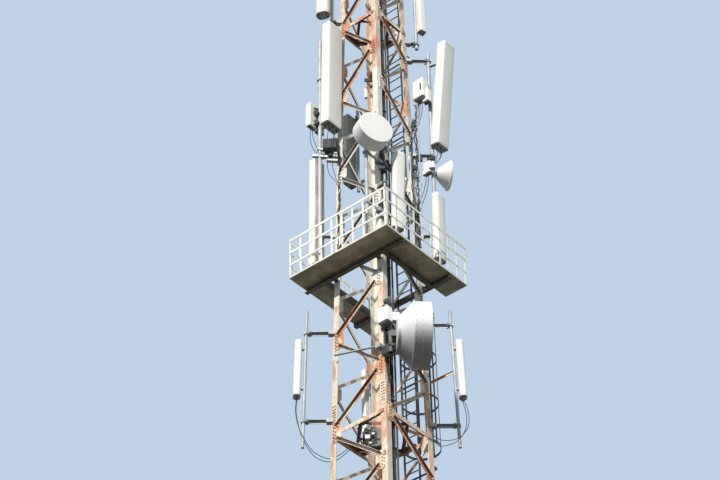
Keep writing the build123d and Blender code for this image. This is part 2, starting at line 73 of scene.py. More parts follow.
# Colours that age gives to the finishes; the sooty and grimy darks are also painted shade on what faces down.
RUST = (0.17, 0.060, 0.025)
SOOTY_SHADE = (0.050, 0.044, 0.032)
SOOTY_RED_SHADE = (0.090, 0.036, 0.024)
PRIMER = (0.80, 0.715, 0.57)
WORN_RED = (0.50, 0.22, 0.13)
GRIMY_SHADE = (0.060, 0.058, 0.040)
DUST = (0.12, 0.11, 0.10)
YELLOWING = (0.62, 0.60, 0.52)
BARE_PLATE = (0.72, 0.66, 0.60)


class TowerSettings(bpy.types.PropertyGroup):
    """Sizes and colours a user would change."""

    signal_colour: bpy.props.FloatVectorProperty(
        name="Signal colour", description="Faded warning paint of the outer bands",
        default=(0.66, 0.280, 0.135), size=3, min=0, max=1, subtype="COLOR")
    pale_colour: bpy.props.FloatVectorProperty(
        name="Pale colour", description="Paint of the middle band and of the platform",
        default=(0.80, 0.78, 0.69), size=3, min=0, max=1, subtype="COLOR")
    radome_colour: bpy.props.FloatVectorProperty(
        name="Radome colour", description="Moulded covers of the panel antennas",
        default=(0.86, 0.86, 0.80), size=3, min=0, max=1, subtype="COLOR")
    band_low: bpy.props.FloatProperty(
        name="Band foot", description="Height at which the pale band starts",
        default=4.86, unit="LENGTH")
    band_high: bpy.props.FloatProperty(
        name="Band top", description="Height at which the pale band ends",
        default=9.67, unit="LENGTH")
    bolt_size: bpy.props.FloatProperty(
        name="Bolt size", description="Width of a bolt head over its flats",
        default=0.024, unit="LENGTH")
    jumper_diameter: bpy.props.FloatProperty(
        name="Jumper diameter", description="Thickness of the jumper cables",
        default=0.013, unit="LENGTH")


class Field:
    """A shader value that varies over a surface; arithmetic on it adds Math nodes."""

    def __init__(self, paint, socket):
        self.paint = paint
        self.socket = socket

    def math(self, operation, *values, clamp=False):
        """Result of a Math node on these values."""
        settings = {"operation": operation, "use_clamp": clamp}
        return self.paint.node("ShaderNodeMath", settings, dict(enumerate(values)))

    def __add__(self, other):
        return self.math("ADD", self, other)

    def __sub__(self, other):
        return self.math("SUBTRACT", self, other)

    def __rsub__(self, other):
        return self.math("SUBTRACT", other, self)

    def __mul__(self, other):
        return self.math("MULTIPLY", self, other)

    __radd__ = __add__
    __rmul__ = __mul__

    def __neg__(self):
        return self * -1.0

    def clamped(self):
        """The value held between 0 and 1."""
        return self.math("ADD", self, 0.0, clamp=True)

    def step(self, low, high):
        """A soft step: 0 below low, 1 above high, and a smooth rise between them."""
        settings = {"interpolation_type": "SMOOTHSTEP"}
        values = {"Value": self, "From Min": low, "From Max": high}
        return self.paint.node("ShaderNodeMapRange", settings, values)


class Paint:
    """One node tree, of a material or of the world, and the nodes that make it."""

    def __init__(self, owner):
        owner.use_nodes = True
        self.owner = owner
        self.tree = owner.node_tree
        self.tree.nodes.clear()
        self.place = self.node("ShaderNodeTexCoord", output="Object")

    def node(self, kind, settings=None, inputs=None, output=0):
        """Adds a node: its settings first, then the values or links of its sockets."""
        made = self.tree.nodes.new(kind)
        for name, value in (settings or {}).items():
            setattr(made, name, value)
        for key, value in (inputs or {}).items():
            if isinstance(value, Field):
                self.tree.links.new(value.socket, made.inputs[key])
            else:
                made.inputs[key].default_value = value
        return Field(self, made.outputs[output]) if made.outputs else None

    def axis(self, index, vector=None):
        """One coordinate of a vector, of the object's own place by default."""
        return self.node("ShaderNodeSeparateXYZ", None, {0: vector or self.place}, output=index)

    def facing(self, index):
        """One coordinate of the surface's outward direction."""
        return self.axis(index, self.node("ShaderNodeNewGeometry", output="True Normal"))

    def noise(self, scale, detail=3.0, stretch=None, roughness=0.55):
        """Cloudy value about 0.5, its scale in features a metre, its axes scaled by the stretch."""
        spot = self.place
        if stretch:
            spot = self.node("ShaderNodeMapping", None, {"Vector": spot, "Scale": stretch})
        values = {"Vector": spot, "Scale": scale, "Detail": detail, "Roughness": roughness}
        return self.node("ShaderNodeTexNoise", None, values)

    def mix(self, share, first, second):
        """Colour that goes from the first to the second as the share rises."""
        first, second = (c if isinstance(c, Field) else (*c, 1.0) for c in (first, second))
        values = {0: share, 6: first, 7: second}
        return self.node("ShaderNodeMix", {"data_type": "RGBA"}, values, output=2)

    def end(self, surface):
        """Joins a shader to the output."""
        kind = "World" if isinstance(self.owner, bpy.types.World) else "Material"
        self.node("ShaderNodeOutput" + kind, None, {"Surface": surface})
        return self.owner

    def backdrop_seen(self):
        """1 for rays that show a background, straight or in gloss and glass, and 0 for the rest."""
        kinds = ("Is Camera Ray", "Is Glossy Ray", "Is Transmission Ray")
        straight, gloss, glass = (self.node("ShaderNodeLightPath", output=kind) for kind in kinds)
        return (straight + gloss + glass).clamped()

    def finish(self, colour, roughness, bumps=(), **fixed):
        """Principled surface; bumps are pairs of a height field and its depth in metres."""
        values = {"Base Color": colour, "Roughness": roughness, **fixed}
        for height, depth in bumps:
            inputs = {"Height": height, "Distance": depth}
            if "Normal" in values:
                inputs["Normal"] = values["Normal"]
            values["Normal"] = self.node("ShaderNodeBump", None, inputs)
        return self.end(self.node("ShaderNodeBsdfPrincipled", None, values))


def new_paint(name):
    """A paint for a new material."""
    return Paint(bpy.data.materials.new(name))


def scaled(colour, share):
    """A colour with its values multiplied."""
    return tuple(share * c for c in colour)


def weathering_and_shade(paint, rust_level, shade_and_grime):
    """Shares of rust, cloudy and in streaks down the piece, and of darkening: painted shade on what faces
    down, with a little cloudy grime over all.
    """
    rust = paint.noise(9.0, 6.0) * 0.6 + paint.noise(22.0, 3.0, (1.0, 1.0, 0.06)) * 0.4
    # Painted shade: faces that look down are marked to be darkened, for the shade under them.
    under = (-paint.facing(2)).step(0.15, 0.75)
    grime = paint.noise(3.0, 4.0).step(0.35, 0.75)
    return rust.step(rust_level, rust_level + 0.08), (under * shade_and_grime + grime * 0.15).clamped()


def mast_paint(name, settings, bleach, fade=0.62):
    """Warning paint in bands, chipped to the primer and rusty at the chips. It is bleached by the fade in
    clouds and on the side towards +X, and its pale band reaches higher on the near leg. What faces down is
    darkened to a sooty red, which is painted shade with a little grime."""
    paint = new_paint(name)
    signal, pale = tuple(settings.signal_colour), tuple(settings.pale_colour)
    edge, raised = 0.05, 0.75
    level = paint.axis(2) + paint.noise(5.0) * 0.10
    near_leg = (paint.axis(0) - paint.axis(1)).step(0.84, 0.88)
    past_foot = level.step(settings.band_low, settings.band_low + edge)
    past_top = (level - near_leg * raised).step(settings.band_high, settings.band_high + edge)
    clouds = paint.noise(1.9, 5.0, (1.0, 1.0, 0.5)) + paint.facing(0).step(0.2, 0.9) * 0.10
    bleached = tuple((1 - fade) * s + fade * p for s, p in zip(signal, PRIMER))
    red = paint.mix(clouds.step(0.56 - bleach, 0.74 - bleach), signal, bleached)
    streaks = paint.noise(7.0, 6.0, (1.0, 1.0, 0.22)).step(0.50, 0.60)
    red = paint.mix(streaks * 0.75, red, paint.mix(clouds.step(0.45, 0.60), WORN_RED, PRIMER))
    chips = paint.noise(13.0, 7.0, (1.0, 1.0, 0.5), 0.65)
    bare = (chips + clouds * 0.5).step(0.78, 0.84)
    red = paint.mix(bare, red, PRIMER)
    flecked = paint.mix(chips.step(0.60, 0.66) * 0.6, pale, signal)
    colour = paint.mix(past_foot * (1 - past_top), red, flecked)
    rust, shade_and_grime = weathering_and_shade(paint, 0.585, 0.90)
    colour = paint.mix(rust * 0.85, colour, RUST)
    # Painted shade: what faces down is darkened towards a sooty red, with some cloudy grime.
    colour = paint.mix(shade_and_grime, colour, SOOTY_RED_SHADE)
    fine = paint.noise(160.0, 4.0)
    roughness = 0.55 + fine * 0.15 + rust * 0.15
    return paint.finish(colour, roughness, [(bare, 0.0006), (fine, 0.0003)])


def plain_paint(name, colour, rust_level, shade_and_grime, underside_shade_colour):
    """Paint with rain streaks, rust, and an underside darkened to its own shade colour: painted shade with
    patches of grime.
    """
    paint = new_paint(name)
    base = paint.mix(paint.noise(2.3, 5.0).step(0.35, 0.70), colour, scaled(colour, 0.84))
    rust, under = weathering_and_shade(paint, rust_level, shade_and_grime)
    base = paint.mix(rust * 0.8, base, RUST)
    patches = paint.noise(3.1, 6.0).step(0.40, 0.62)
    # Painted shade: what faces down takes the underside's shade colour, in patches.
    base = paint.mix(under, base, paint.mix(patches, underside_shade_colour, scaled(underside_shade_colour, 1.9)))
    fine = paint.noise(150.0, 4.0)
    return paint.finish(base, 0.50 + fine * 0.2, [(fine, 0.0003)])


def galvanised(name, tone, rust_level=0.64, sheen=0.35):
    """Zinc coat: spangle cells of slightly different grey, dull patches, a little rust, and painted shade
    mixed with soot on what faces down.
    """
    paint = new_paint(name)
    cells = paint.node("ShaderNodeTexVoronoi", None, {"Vector": paint.place, "Scale": 70.0})
    clouds = paint.noise(4.0, 4.0)
    grey = paint.mix((cells * 0.5 + clouds * 0.6).step(0.25, 0.75), tone, scaled(tone, 0.68))
    rust, under = weathering_and_shade(paint, rust_level, 0.65)
    grey = paint.mix(rust * 0.7, grey, RUST)
    # Painted shade: what faces down is darkened towards a sooty grey.
    grey = paint.mix(under, grey, SOOTY_SHADE)
    return paint.finish(grey, 0.45 + clouds * 0.25, [(cells, 0.0001)], Metallic=sheen)


def moulded(name, colour, stain=0.25, gloss=0.35, under=0.75):
    """Moulded plastic: even colour, faint rain streaks, a grimy darkening of what faces down that is painted
    shade, and a fine skin texture.
    """
    paint = new_paint(name)
    streaks = paint.noise(16.0, 4.0, (1.0, 1.0, 0.05)).step(0.45, 0.75)
    clouds = paint.noise(2.0, 4.0).step(0.40, 0.75)
    stained = tuple(c * s for c, s in zip(colour, YELLOWING))
    base = paint.mix((streaks * 0.6 + clouds * 0.4) * stain, colour, stained)
    # Painted shade: what faces down is darkened towards a grimy olive.
    base = paint.mix((-paint.facing(2)).step(0.10, 0.80) * under, base, GRIMY_SHADE)
    fine = paint.noise(220.0, 3.0)
    return paint.finish(base, gloss + fine * 0.15, [(fine, 0.00015)])


def stained_back(name, colour, brown):
    """Moulded cover whose side towards +X is a bare plate with cloudy brown stains."""
    paint = new_paint(name)
    clouds = paint.noise(3.0, 6.0, (1.0, 1.0, 0.4))
    plate = paint.mix(clouds.step(0.40, 0.66), BARE_PLATE, brown)
    base = paint.mix(paint.facing(0).step(0.45, 0.75), colour, plate)
    return paint.finish(base, 0.45 + clouds * 0.2, [(paint.noise(220.0, 3.0), 0.00015)])


def cable_jacket(name, tone):
    """Cable jacket, dusty on its upper side, with a fine grain."""
    paint = new_paint(name)
    dust = paint.facing(2).step(-0.2, 0.9) * 0.5 + paint.noise(8.0, 3.0).step(0.4, 0.8) * 0.3
    base = paint.mix(dust.clamped(), (tone, tone, tone * 1.05), DUST)
    fine = paint.noise(300.0, 2.0)
    return paint.finish(base, 0.45 + fine * 0.2, [(fine, 0.0001)])


class Finishes:
    """The materials by name, each made when it is first asked for."""

    made = {}
    # In the plain paints the last colour darkens what faces down: painted shade, with patches of grime.
    recipes = {
        "mast_paint": lambda s: mast_paint("banded_warning_paint", s, 0.14),
        "leg_paint": lambda s: mast_paint("bleached_warning_paint", s, 0.23),
        "pale_leg_paint": lambda s: mast_paint("pale_warning_paint", s, 0.36, 0.88),
        # Painted shade: the diaphragms get a dark rust-brown for the shade inside the mast.
        "inner_paint": lambda s: plain_paint(
            "shaded_inner_paint", (0.30, 0.100, 0.060), 0.55, 0.95, (0.060, 0.018, 0.012)),
        "platform_paint": lambda s: plain_paint(
            "aged_platform_paint", s.pale_colour, 0.60, 0.95, (0.200, 0.174, 0.114)),
        # Painted shade: the platform's beams and seats are painted near black for the shade under the deck.
        "beam_paint": lambda s: plain_paint(
            "shaded_beam_paint", (0.070, 0.058, 0.040), 0.56, 0.9, (0.035, 0.028, 0.018)),
        "railing_paint": lambda s: plain_paint(
            "aged_rail_paint", (0.95, 0.94, 0.86), 0.66, 0.4, (0.10, 0.09, 0.07)),
        "ladder_paint": lambda s: plain_paint(
            "dark_ladder_paint", (0.105, 0.095, 0.085), 0.56, 0.7, (0.03, 0.028, 0.025)),
        "foot_steel": lambda s: galvanised("weathered_foot_zinc", (0.42, 0.41, 0.38), 0.58),
        "rack_galvanised": lambda s: galvanised("dull_rack_zinc", (0.15, 0.155, 0.15)),
        "pipe_galvanised": lambda s: galvanised("dull_pipe_zinc", (0.54, 0.58, 0.60), 0.66, 0.2),
        "pale_pipe": lambda s: galvanised("pale_pipe_zinc", (0.66, 0.68, 0.66), 0.66, 0.1),
        "cable_black": lambda s: cable_jacket("black_cable_jacket", 0.016),
        "cable_grey": lambda s: cable_jacket("grey_cable_jacket", 0.16),
        "panel_radome": lambda s: moulded("moulded_radome", s.radome_colour),
        "stained_radome": lambda s: stained_back("stained_radome", s.radome_colour, (0.55, 0.45, 0.39)),
        # Painted shade: the far large panel gets a dark grey-green for its side in shadow.
        "shaded_radome": lambda s: moulded("shaded_radome", (0.40, 0.44, 0.41), 0.5, 0.5),
        "dish_radome": lambda s: moulded("white_membrane", (0.88, 0.88, 0.84), 0.15, 0.4, 0.15),
        "dish_shell": lambda s: moulded("powder_coated_dish", (0.82, 0.84, 0.83), 0.25, 0.40, 0.80),
        "radio_case": lambda s: moulded("powder_coated_case", (0.86, 0.86, 0.83), 0.35, 0.45),
        "grey_case": lambda s: moulded("grey_case", (0.20, 0.21, 0.20), 0.6, 0.5),
        "end_cap": lambda s: moulded("dark_end_cap", (0.021, 0.021, 0.020), 0.3, 0.55),
    }

    @classmethod
    def get(cls, name):
        """The material of a finish."""
        if name not in cls.made:
            cls.made[name] = cls.recipes[name](bpy.context.scene.tower)
        return cls.made[name]


def write_mesh(name, parts, finish, smooth=True):
    """Mesh object from pairs of points and faces, at the origin and riding on the tower."""
    points, faces, start = [], [], 0
    for some_points, some_faces in parts:
        flat = np.asarray(some_points, float).reshape(-1, 3)
        points.append(flat)
        faces.extend((np.asarray(block) + start).tolist() for block in some_faces)
        start += len(flat)
    mesh = bpy.data.meshes.new(name)
    mesh.from_pydata(np.concatenate(points), [], [face for block in faces for face in block])
    mesh.polygons.foreach_set("use_smooth", np.full(len(mesh.polygons), smooth))
    mesh.materials.append(Finishes.get(finish))
    mesh.update()
    piece = bpy.data.objects.new(name, mesh)
    bpy.context.scene.collection.objects.link(piece)
    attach(piece, "root")
    return piece


def shade_by_angle(piece, degrees=32.0):
    """Keep soft shading on curved skin and hard shading where faces meet at more than the angle."""
    mesh = piece.data
    normals = np.empty(len(mesh.polygons) * 3)
    mesh.polygons.foreach_get("normal", normals)
    normals = normals.reshape(-1, 3)
    loops = np.empty(len(mesh.loops), int)
    mesh.loops.foreach_get("edge_index", loops)
    totals = np.empty(len(mesh.polygons), int)
    mesh.polygons.foreach_get("loop_total", totals)
    owner = np.repeat(np.arange(len(totals)), totals)
    order = np.argsort(loops, kind="stable")
    edge, face = loops[order], owner[order]
    same = edge[1:] == edge[:-1]
    first, second = face[:-1][same], face[1:][same]
    sharp = (normals[first] * normals[second]).sum(axis=1) < math.cos(math.radians(degrees))
    flags = np.zeros(len(mesh.edges), bool)
    flags[edge[:-1][same]] = sharp
    layer = mesh.attributes.new("sharp_edge", "BOOLEAN", "EDGE")
    layer.data.foreach_set("value", flags)


def grid_faces(rows, columns):
    """Quads of a grid of points, rows along the piece and columns around it, closed around."""
    row, column = np.meshgrid(np.arange(rows - 1), np.arange(columns), indexing="ij")
    after = (column + 1) % columns
    quads = np.stack([row * columns + column, row * columns + after,
                      (row + 1) * columns + after, (row + 1) * columns + column], axis=-1)
    return quads.reshape(-1, 4)


def capped(rings):
    """A closed skin over rings of points: quads between the rings and a fan to a pole at each end."""
    rings = np.asarray(rings, float)
    rows, columns = rings.shape[:2]
    points = np.concatenate([rings.reshape(-1, 3), rings[:1].mean(axis=1), rings[-1:].mean(axis=1)])
    index = np.arange(columns)
    after = (index + 1) % columns
    low = np.stack([after, index, np.full(columns, rows * columns)], axis=-1)
    last = (rows - 1) * columns
    high = np.stack([last + index, last + after, np.full(columns, rows * columns + 1)], axis=-1)
    return points, [grid_faces(rows, columns), low, high]


def heading_axes(turn, tilt=0.0):
    """Across, out and up directions of a piece that faces a heading and leans forward by the tilt."""
    turn, tilt = math.radians(turn), math.radians(tilt)
    across = np.array((-math.cos(turn), -math.sin(turn), 0.0))
    ahead = np.array((math.sin(turn), -math.cos(turn), 0.0))
    up = np.array((0.0, 0.0, 1.0))
    out = ahead * math.cos(tilt) - up * math.sin(tilt)
    return across, out, up * math.cos(tilt) + ahead * math.sin(tilt)


def turned_skin(profile, origin, axis, around=72):
    """Lathe: a profile of (distance along the axis, radius) carried round the axis by the angle."""
    axis = np.array(axis, float) / np.linalg.norm(axis)
    side = np.cross(axis, (0.0, 0.0, 1.0) if abs(axis[2]) < 0.9 else (1.0, 0.0, 0.0))
    side = side / np.linalg.norm(side)
    angle = np.linspace(0, 2 * np.pi, around, endpoint=False)
    ring = np.cos(angle)[:, None] * side + np.sin(angle)[:, None] * np.cross(axis, side)
    along, radius = np.array(profile, float).T[:, :, None, None]
    return capped(np.array(origin) + along * axis + radius * ring)


def smooth_path(points, count):
    """Curve through the points in cubic pieces, its slope at each half the step between its neighbours."""
    points = np.array(points, float)
    slope = np.gradient(points, axis=0)
    share = np.linspace(0, len(points) - 1, count)
    index = np.minimum(share.astype(int), len(points) - 2)
    t = (share - index)[:, None]
    start, end = points[index], points[index + 1]
    return ((2 * t**3 - 3 * t**2 + 1) * start + (t**3 - 2 * t**2 + t) * slope[index]
            + (3 * t**2 - 2 * t**3) * end + (t**3 - t**2) * slope[index + 1])


def tube(path, radius, around=8):
    """Round tube along a path: each ring lies across the path's direction, turned from one fixed side."""
    path = np.array(path, float)
    along = np.gradient(path, axis=0)
    along = along / np.linalg.norm(along, axis=1, keepdims=True)
    side = np.cross(along, (0.31, 0.95, 0.07))
    side = side / np.linalg.norm(side, axis=1, keepdims=True)
    other = np.cross(along, side)
    angle = np.linspace(0, 2 * np.pi, around, endpoint=False)[None, :, None]
    ring = np.cos(angle) * side[:, None] + np.sin(angle) * other[:, None]
    return capped(path[:, None] + radius * ring)


def box_skin(centre, size, axes, bevel):
    """Block with bevelled edges: rounded rectangles that shrink at both ends, stacked along the last axis."""
    bevel = min(bevel, min(size) / 3)
    heights = np.array([-0.5 * size[2], bevel - 0.5 * size[2], 0.5 * size[2] - bevel, 0.5 * size[2]])
    rings = [rounded_ring(size[0], size[1], bevel, inset, 2) for inset in (bevel, 0.0, 0.0, bevel)]
    local = np.stack([np.column_stack([ring, np.full(len(ring), z)]) for ring, z in zip(rings, heights)])
    return capped(np.array(centre) + local @ np.array(axes))


def bar(start, end, width, depth):
    """Straight bar between two points: a bevelled block along their line, its width level."""
    start, end = np.array(start, float), np.array(end, float)
    length = np.linalg.norm(end - start)
    along = (end - start) / length
    level = np.cross(along, (0.0, 0.0, 1.0) if abs(along[2]) < 0.95 else (0.0, 1.0, 0.0))
    level = level / np.linalg.norm(level)
    axes = (level, np.cross(along, level), along)
    return box_skin((start + end) / 2, (width, depth, length), axes, 0.003)


def bundle(path, count, spread, radius, seed):
    """Clipped cables along one route: each follows its curve with a small shift of its own at every clip."""
    rng = np.random.default_rng(seed)
    route = smooth_path(path, 4 * len(path))
    shift = rng.normal(0.0, spread, (count, len(route), 3)) * (1.0, 1.0, 0.2)
    thick = radius * rng.uniform(0.7, 1.2, count)
    return [tube(smooth_path(route + move, 4 * len(route)), r, 6) for move, r in zip(shift, thick)]


def ring_places(front, axis, distance, radius, count):
    """Places evenly round an axis, centre + radius (cos a, sin a), and the outward direction at each."""
    axis = np.array(axis, float)
    side = np.cross(axis, (0.0, 0.0, 1.0))
    other = np.cross(axis, side)
    angle = np.arange(count) * 2 * np.pi / count
    out = np.cos(angle)[:, None] * side + np.sin(angle)[:, None] * other
    return np.array(front) + distance * axis + radius * out, out


def upright_rings(radii, heights, count):
    """Rings of points at rising heights: (r cos a, r sin a, z), where r may differ from point to point."""
    angle = np.arange(count) * 2 * np.pi / count
    rings = [(r * np.cos(angle), r * np.sin(angle), np.full(count, z)) for r, z in zip(radii, heights)]
    return np.stack(rings).transpose(0, 2, 1)


def rivet_head(radius, height):
    """Low rivet head: rings of eight points, with radius r cos t at height h sin t."""
    rise = np.linspace(0, np.pi / 2, 4)[:-1]
    return capped(upright_rings(radius * np.cos(rise), height * np.sin(rise), 8))


def hex_bolt(size):
    """Bolt head on a washer: rings of twelve points at rising heights, the head's at a hexagon's radius."""
    hexagon = np.where(np.arange(12) % 2 == 0, 1.0, math.cos(math.pi / 6)) * 1.12
    washer = np.full(12, 1.45)
    radii = np.array([washer, washer, hexagon, hexagon, 0.8 * hexagon]) * size / 2
    return capped(upright_rings(radii, np.array([0.0, 0.14, 0.15, 0.62, 0.75]) * size, 12))


def stamped(unit, places, axes):
    """Copies of a small shape: each point is its place + x across + y up + z out. The axes are those three
    directions, for all places at once or for each."""
    unit_points, blocks = unit
    places = np.asarray(places, float).reshape(-1, 3)
    points = places[:, None, :] + unit_points @ np.asarray(axes, float)
    start = (np.arange(len(places)) * len(unit_points))[:, None, None]
    return points.reshape(-1, 3), [(block[None] + start).reshape(-1, block.shape[1]) for block in blocks]


def studs(unit, places, out, axis):
    """Copies of a small shape round an axis, each standing along its own outward direction."""
    along = np.broadcast_to(axis, out.shape)
    frames = np.stack([np.cross(along, out), along, out], axis=1)
    if np.linalg.det(frames[0]) < 0:
        frames[:, 0] *= -1
    return stamped(unit, places, frames)


def rounded_ring(width, depth, radius, inset, steps=6):
    """Rounded rectangle, counter-clockwise: each corner is an arc about a centre one radius inside it."""
    arc = np.linspace(0, np.pi / 2, steps)
    reach = max(radius - inset, 0.0005)
    angle = np.concatenate([arc + k * np.pi / 2 for k in range(4)])
    signs = np.repeat(np.array([(1, 1), (-1, 1), (-1, -1), (1, -1)], float), steps, axis=0)
    centre = signs * (np.array((width, depth)) / 2 - inset - reach)
    return centre + reach * np.column_stack([np.cos(angle), np.sin(angle)])


def face_frame(turn):
    """Origin and the across, up and out directions of one face of the mast, with its slope."""
    across, out, _ = heading_axes(turn)
    across, root = -across, out * BASE_WIDTH / 2
    out = out + np.array((0.0, 0.0, SLOPE))
    out = out / np.linalg.norm(out)
    return root, across, np.cross(out, across), out


def half(level):
    """Half the mast's width over its leg corners at a height."""
    return BASE_WIDTH / 2 - SLOPE * level


class TOWER_OT_finishes(bpy.types.Operator):
    """Give every carried-over CAD piece its own finish, or else the one of its material slot"""

    bl_idname = "tower.finishes"
    bl_label = "Finish the frame"
    # The diaphragms and the platform's beams and seats get dark paints that are painted shade.
    special = {
        "leg_left": "pale_leg_paint", "leg_near": "leg_paint", "leg_right": "leg_paint",
        "leg_back": "leg_paint", "diaphragms": "inner_paint", "platform_cross_beams": "beam_paint",
        "platform_side_beams": "beam_paint", "platform_seats": "beam_paint", "junction_box": "grey_case",
        "poles_left": "pale_pipe", "dish_mount": "rack_galvanised",
    }

    def execute(self, context):
        for part in frame["record"]["subparts"]:
            node = part["node"]
            mesh = frame["nodes"][node].data
            mesh.materials.clear()
            mesh.materials.append(Finishes.get(self.special.get(node, part["material_slot"])))
        return {"FINISHED"}


def face_bolts():
    """Bolt places on one face, as rows of (across, level, out). A gusset stands at every half bay, by turns
    at the left and the right leg, and a brace runs from each to the next. Struts and splices follow."""
    rows = []
    gussets = int(2 * HEIGHT / BAY) + 1
    leg_columns = ((0.065, (-0.14, -0.07, 0, 0.07, 0.14)), (0.105, (-0.105, -0.035, 0.035, 0.105)))
    brace_foot, brace_head, brace_inset = 0.11, 0.89, 0.137
    for index in range(gussets):
        level, side = index * BAY / 2, -1 if index % 2 == 0 else 1
        for inset, drops in leg_columns:
            rows += [(side * (half(level + drop) - inset), level + drop, GUSSET_THICK) for drop in drops]
        if index < gussets - 1:
            low, high = level + brace_foot, level + brace_head
            start = np.array((side * (half(low) - brace_inset), low))
            end = np.array((-side * (half(high) - brace_inset), high))
            along = (end - start) / np.linalg.norm(end - start)
            for spot in (start + 0.03 * along, start + 0.09 * along, end - 0.03 * along, end - 0.09 * along):
                rows.append((*spot, GUSSET_THICK + BRACE_THICK))
    for level in (BAY, 6 * BAY):
        rows += [(half(level) - inset, level + rise, STRUT_THICK)
                 for inset in (0.06, 0.10) for rise in (-0.02, 0.02)]
    splice = np.arange(2.23, 2.65, 0.06)
    for side in (-1, 1):
        rows += [(side * (half(level) - inset), level, 0.0) for inset in (0.04, 0.085) for level in splice]
    rows = np.array(rows)
    return rows[(rows[:, 1] > 0.05) & (rows[:, 1] < HEIGHT - 0.02)]


class TOWER_OT_bolts(bpy.types.Operator):
    """Set bolt heads on the gussets, braces, struts and splices of the four faces"""

    bl_idname = "tower.bolts"
    bl_label = "Bolts"

    def execute(self, context):
        unit = hex_bolt(context.scene.tower.bolt_size)
        rows = face_bolts()
        parts = []
        for turn in FACE_TURNS:
            root, across, up, out = face_frame(turn)
            sideways, level, stand = rows[:, :1], rows[:, 1:2], rows[:, 2:]
            places = root + sideways * across + level * math.hypot(1, SLOPE) * up + stand * out
            parts.append(stamped(unit, places, (across, up, out)))
        write_mesh("face_bolts", parts, "mast_paint", smooth=False)
        return {"FINISHED"}


# Panel antennas: x and y of the middle of the back, levels of the foot and the top, width, depth, heading,
# forward tilt, rounding of the corners as a share of the smaller side, height of the rounded top, and number
# of cable sockets.
RADOMES = {
    "panel_left_large": (-0.530, -0.810, 9.08, 11.81, 0.430, 0.215, 90, 1.0, 0.2, 0.02, 6),
    "panel_left_tall": (-0.845, -0.682, 5.90, 8.52, 0.300, 0.160, 270, 0.0, 0.2, 0.02, 6),
    "panel_left_top": (-0.635, -0.760, 12.25, 13.95, 0.290, 0.240, 20, 0.0, 0.45, 0.03, 4),
    "panel_left_low": (-1.022, -0.972, 2.82, 4.07, 0.190, 0.140, 315, -1.215, 0.4, 0.07, 2),
    "panel_right_large": (0.965, 0.845, 8.85, 11.50, 0.350, 0.215, 90, 6.4, 0.2, 0.02, 6),
    "panel_right_deck": (0.850, 0.690, 5.90, 7.53, 0.290, 0.170, 90, 1.0, 0.45, 0.08, 4),
    "panel_right_top": (0.672, 0.690, 12.03, 13.95, 0.160, 0.150, 75, 0.0, 0.2, 0.02, 4),
    "panel_right_low": (1.000, 0.950, 2.88, 4.16, 0.190, 0.140, 135, -1.215, 0.4, 0.07, 2),
    "panel_near_deck": (0.785, -0.370, 6.08, 7.90, 0.260, 0.140, 70, 4.0, 0.45, 0.08, 4),
    "panel_far_low": (-0.750, 0.545, 2.79, 4.12, 0.160, 0.100, 270, 0.0, 0.2, 0.02, 2),
    "panel_far_large": (-0.835, 0.300, 8.58, 10.40, 0.270, 0.160, 270, 0.0, 0.2, 0.02, 4),
}


def radome(x, y, low, high, width, depth, turn, tilt, rounding, crown):
    """Panel antenna's cover: a rounded rectangle carried up the panel, drawn in along a quarter ellipse at
    the top and a small round at the foot, with a shallow groove where each end cap meets the cover."""
    length = high - low
    cap, groove = 0.050, 0.0018
    arc = np.linspace(0, np.pi / 2, 7)
    seam = np.array([0.0, 0.002, 0.006, 0.008])
    heights = np.concatenate([[0.0, 0.004, 0.012], cap + seam, length - crown - cap - seam[::-1],
                              length - crown + crown * np.sin(arc)])
    insets = np.concatenate([[0.012, 0.004, 0.0], [0, groove, groove, 0], [0, groove, groove, 0],
                             min(crown, 0.45 * depth) * (1 - np.cos(arc))])
    rings = np.stack([rounded_ring(width, depth, rounding * min(width, depth), inset) for inset in insets])
    upward = np.broadcast_to((heights - length / 2)[:, None, None], (*rings.shape[:2], 1))
    local = np.concatenate([rings, upward], axis=2)
    local[..., 1] += depth / 2
    return capped(np.array((x, y, (low + high) / 2)) + local @ np.array(heading_axes(turn, tilt)))


def port_places(x, y, low, high, width, depth, turn, tilt, ports):
    """Places of the cable sockets under a panel antenna, and the panel's directions: two rows of even steps,
    or one row for fewer than four sockets."""
    axes = heading_axes(turn, tilt)
    rows = 1 if ports < 4 else 2
    per_row = ports // rows
    u, v = np.meshgrid((np.arange(per_row) - (per_row - 1) / 2) * 0.6 * width / max(per_row - 1, 1),
                       (np.arange(rows) - (rows - 1) / 2) * 0.4 * depth + depth / 2)
    local = np.column_stack([u.ravel(), v.ravel(), np.full(ports, (low - high) / 2)])
    return np.array((x, y, (low + high) / 2)) + local @ np.array(axes), axes


# Pipes: x and y, levels of their clamps, and radius.
POLES = [
    ((-0.775, -0.760), (6.50, 8.55, 10.60), 0.038), ((-0.640, -0.790), (9.45, 11.45), 0.038),
    ((-0.580, -0.605), (12.25, 13.50), 0.038), ((-0.989, -0.939), (2.30,), 0.030),
    ((-0.960, -0.910), (4.23,), 0.030), ((0.704, -0.366), (6.40, 7.60), 0.030),
    ((0.690, -0.590), (6.70, 7.15), 0.025), ((-0.706, 0.545), (2.50, 4.25), 0.022),
    ((-0.780, 0.400), (8.65, 10.35), 0.030), ((0.800, 0.775), (6.60, 8.65, 11.24), 0.038),
    ((0.615, 0.648), (11.75, 13.40), 0.038), ((0.974, 0.925), (2.28,), 0.030),
    ((0.945, 0.896), (4.49,), 0.030),
]

# Profiles of the cable sockets under the panels and the radios: height, radius.
PANEL_SOCKET = [(-0.034, 0.011), (-0.032, 0.015), (-0.012, 0.015), (-0.010, 0.019), (0.002, 0.019)]
RADIO_SOCKET = [(-0.026, 0.010), (-0.024, 0.014), (-0.008, 0.014), (-0.006, 0.018), (0.002, 0.018)]


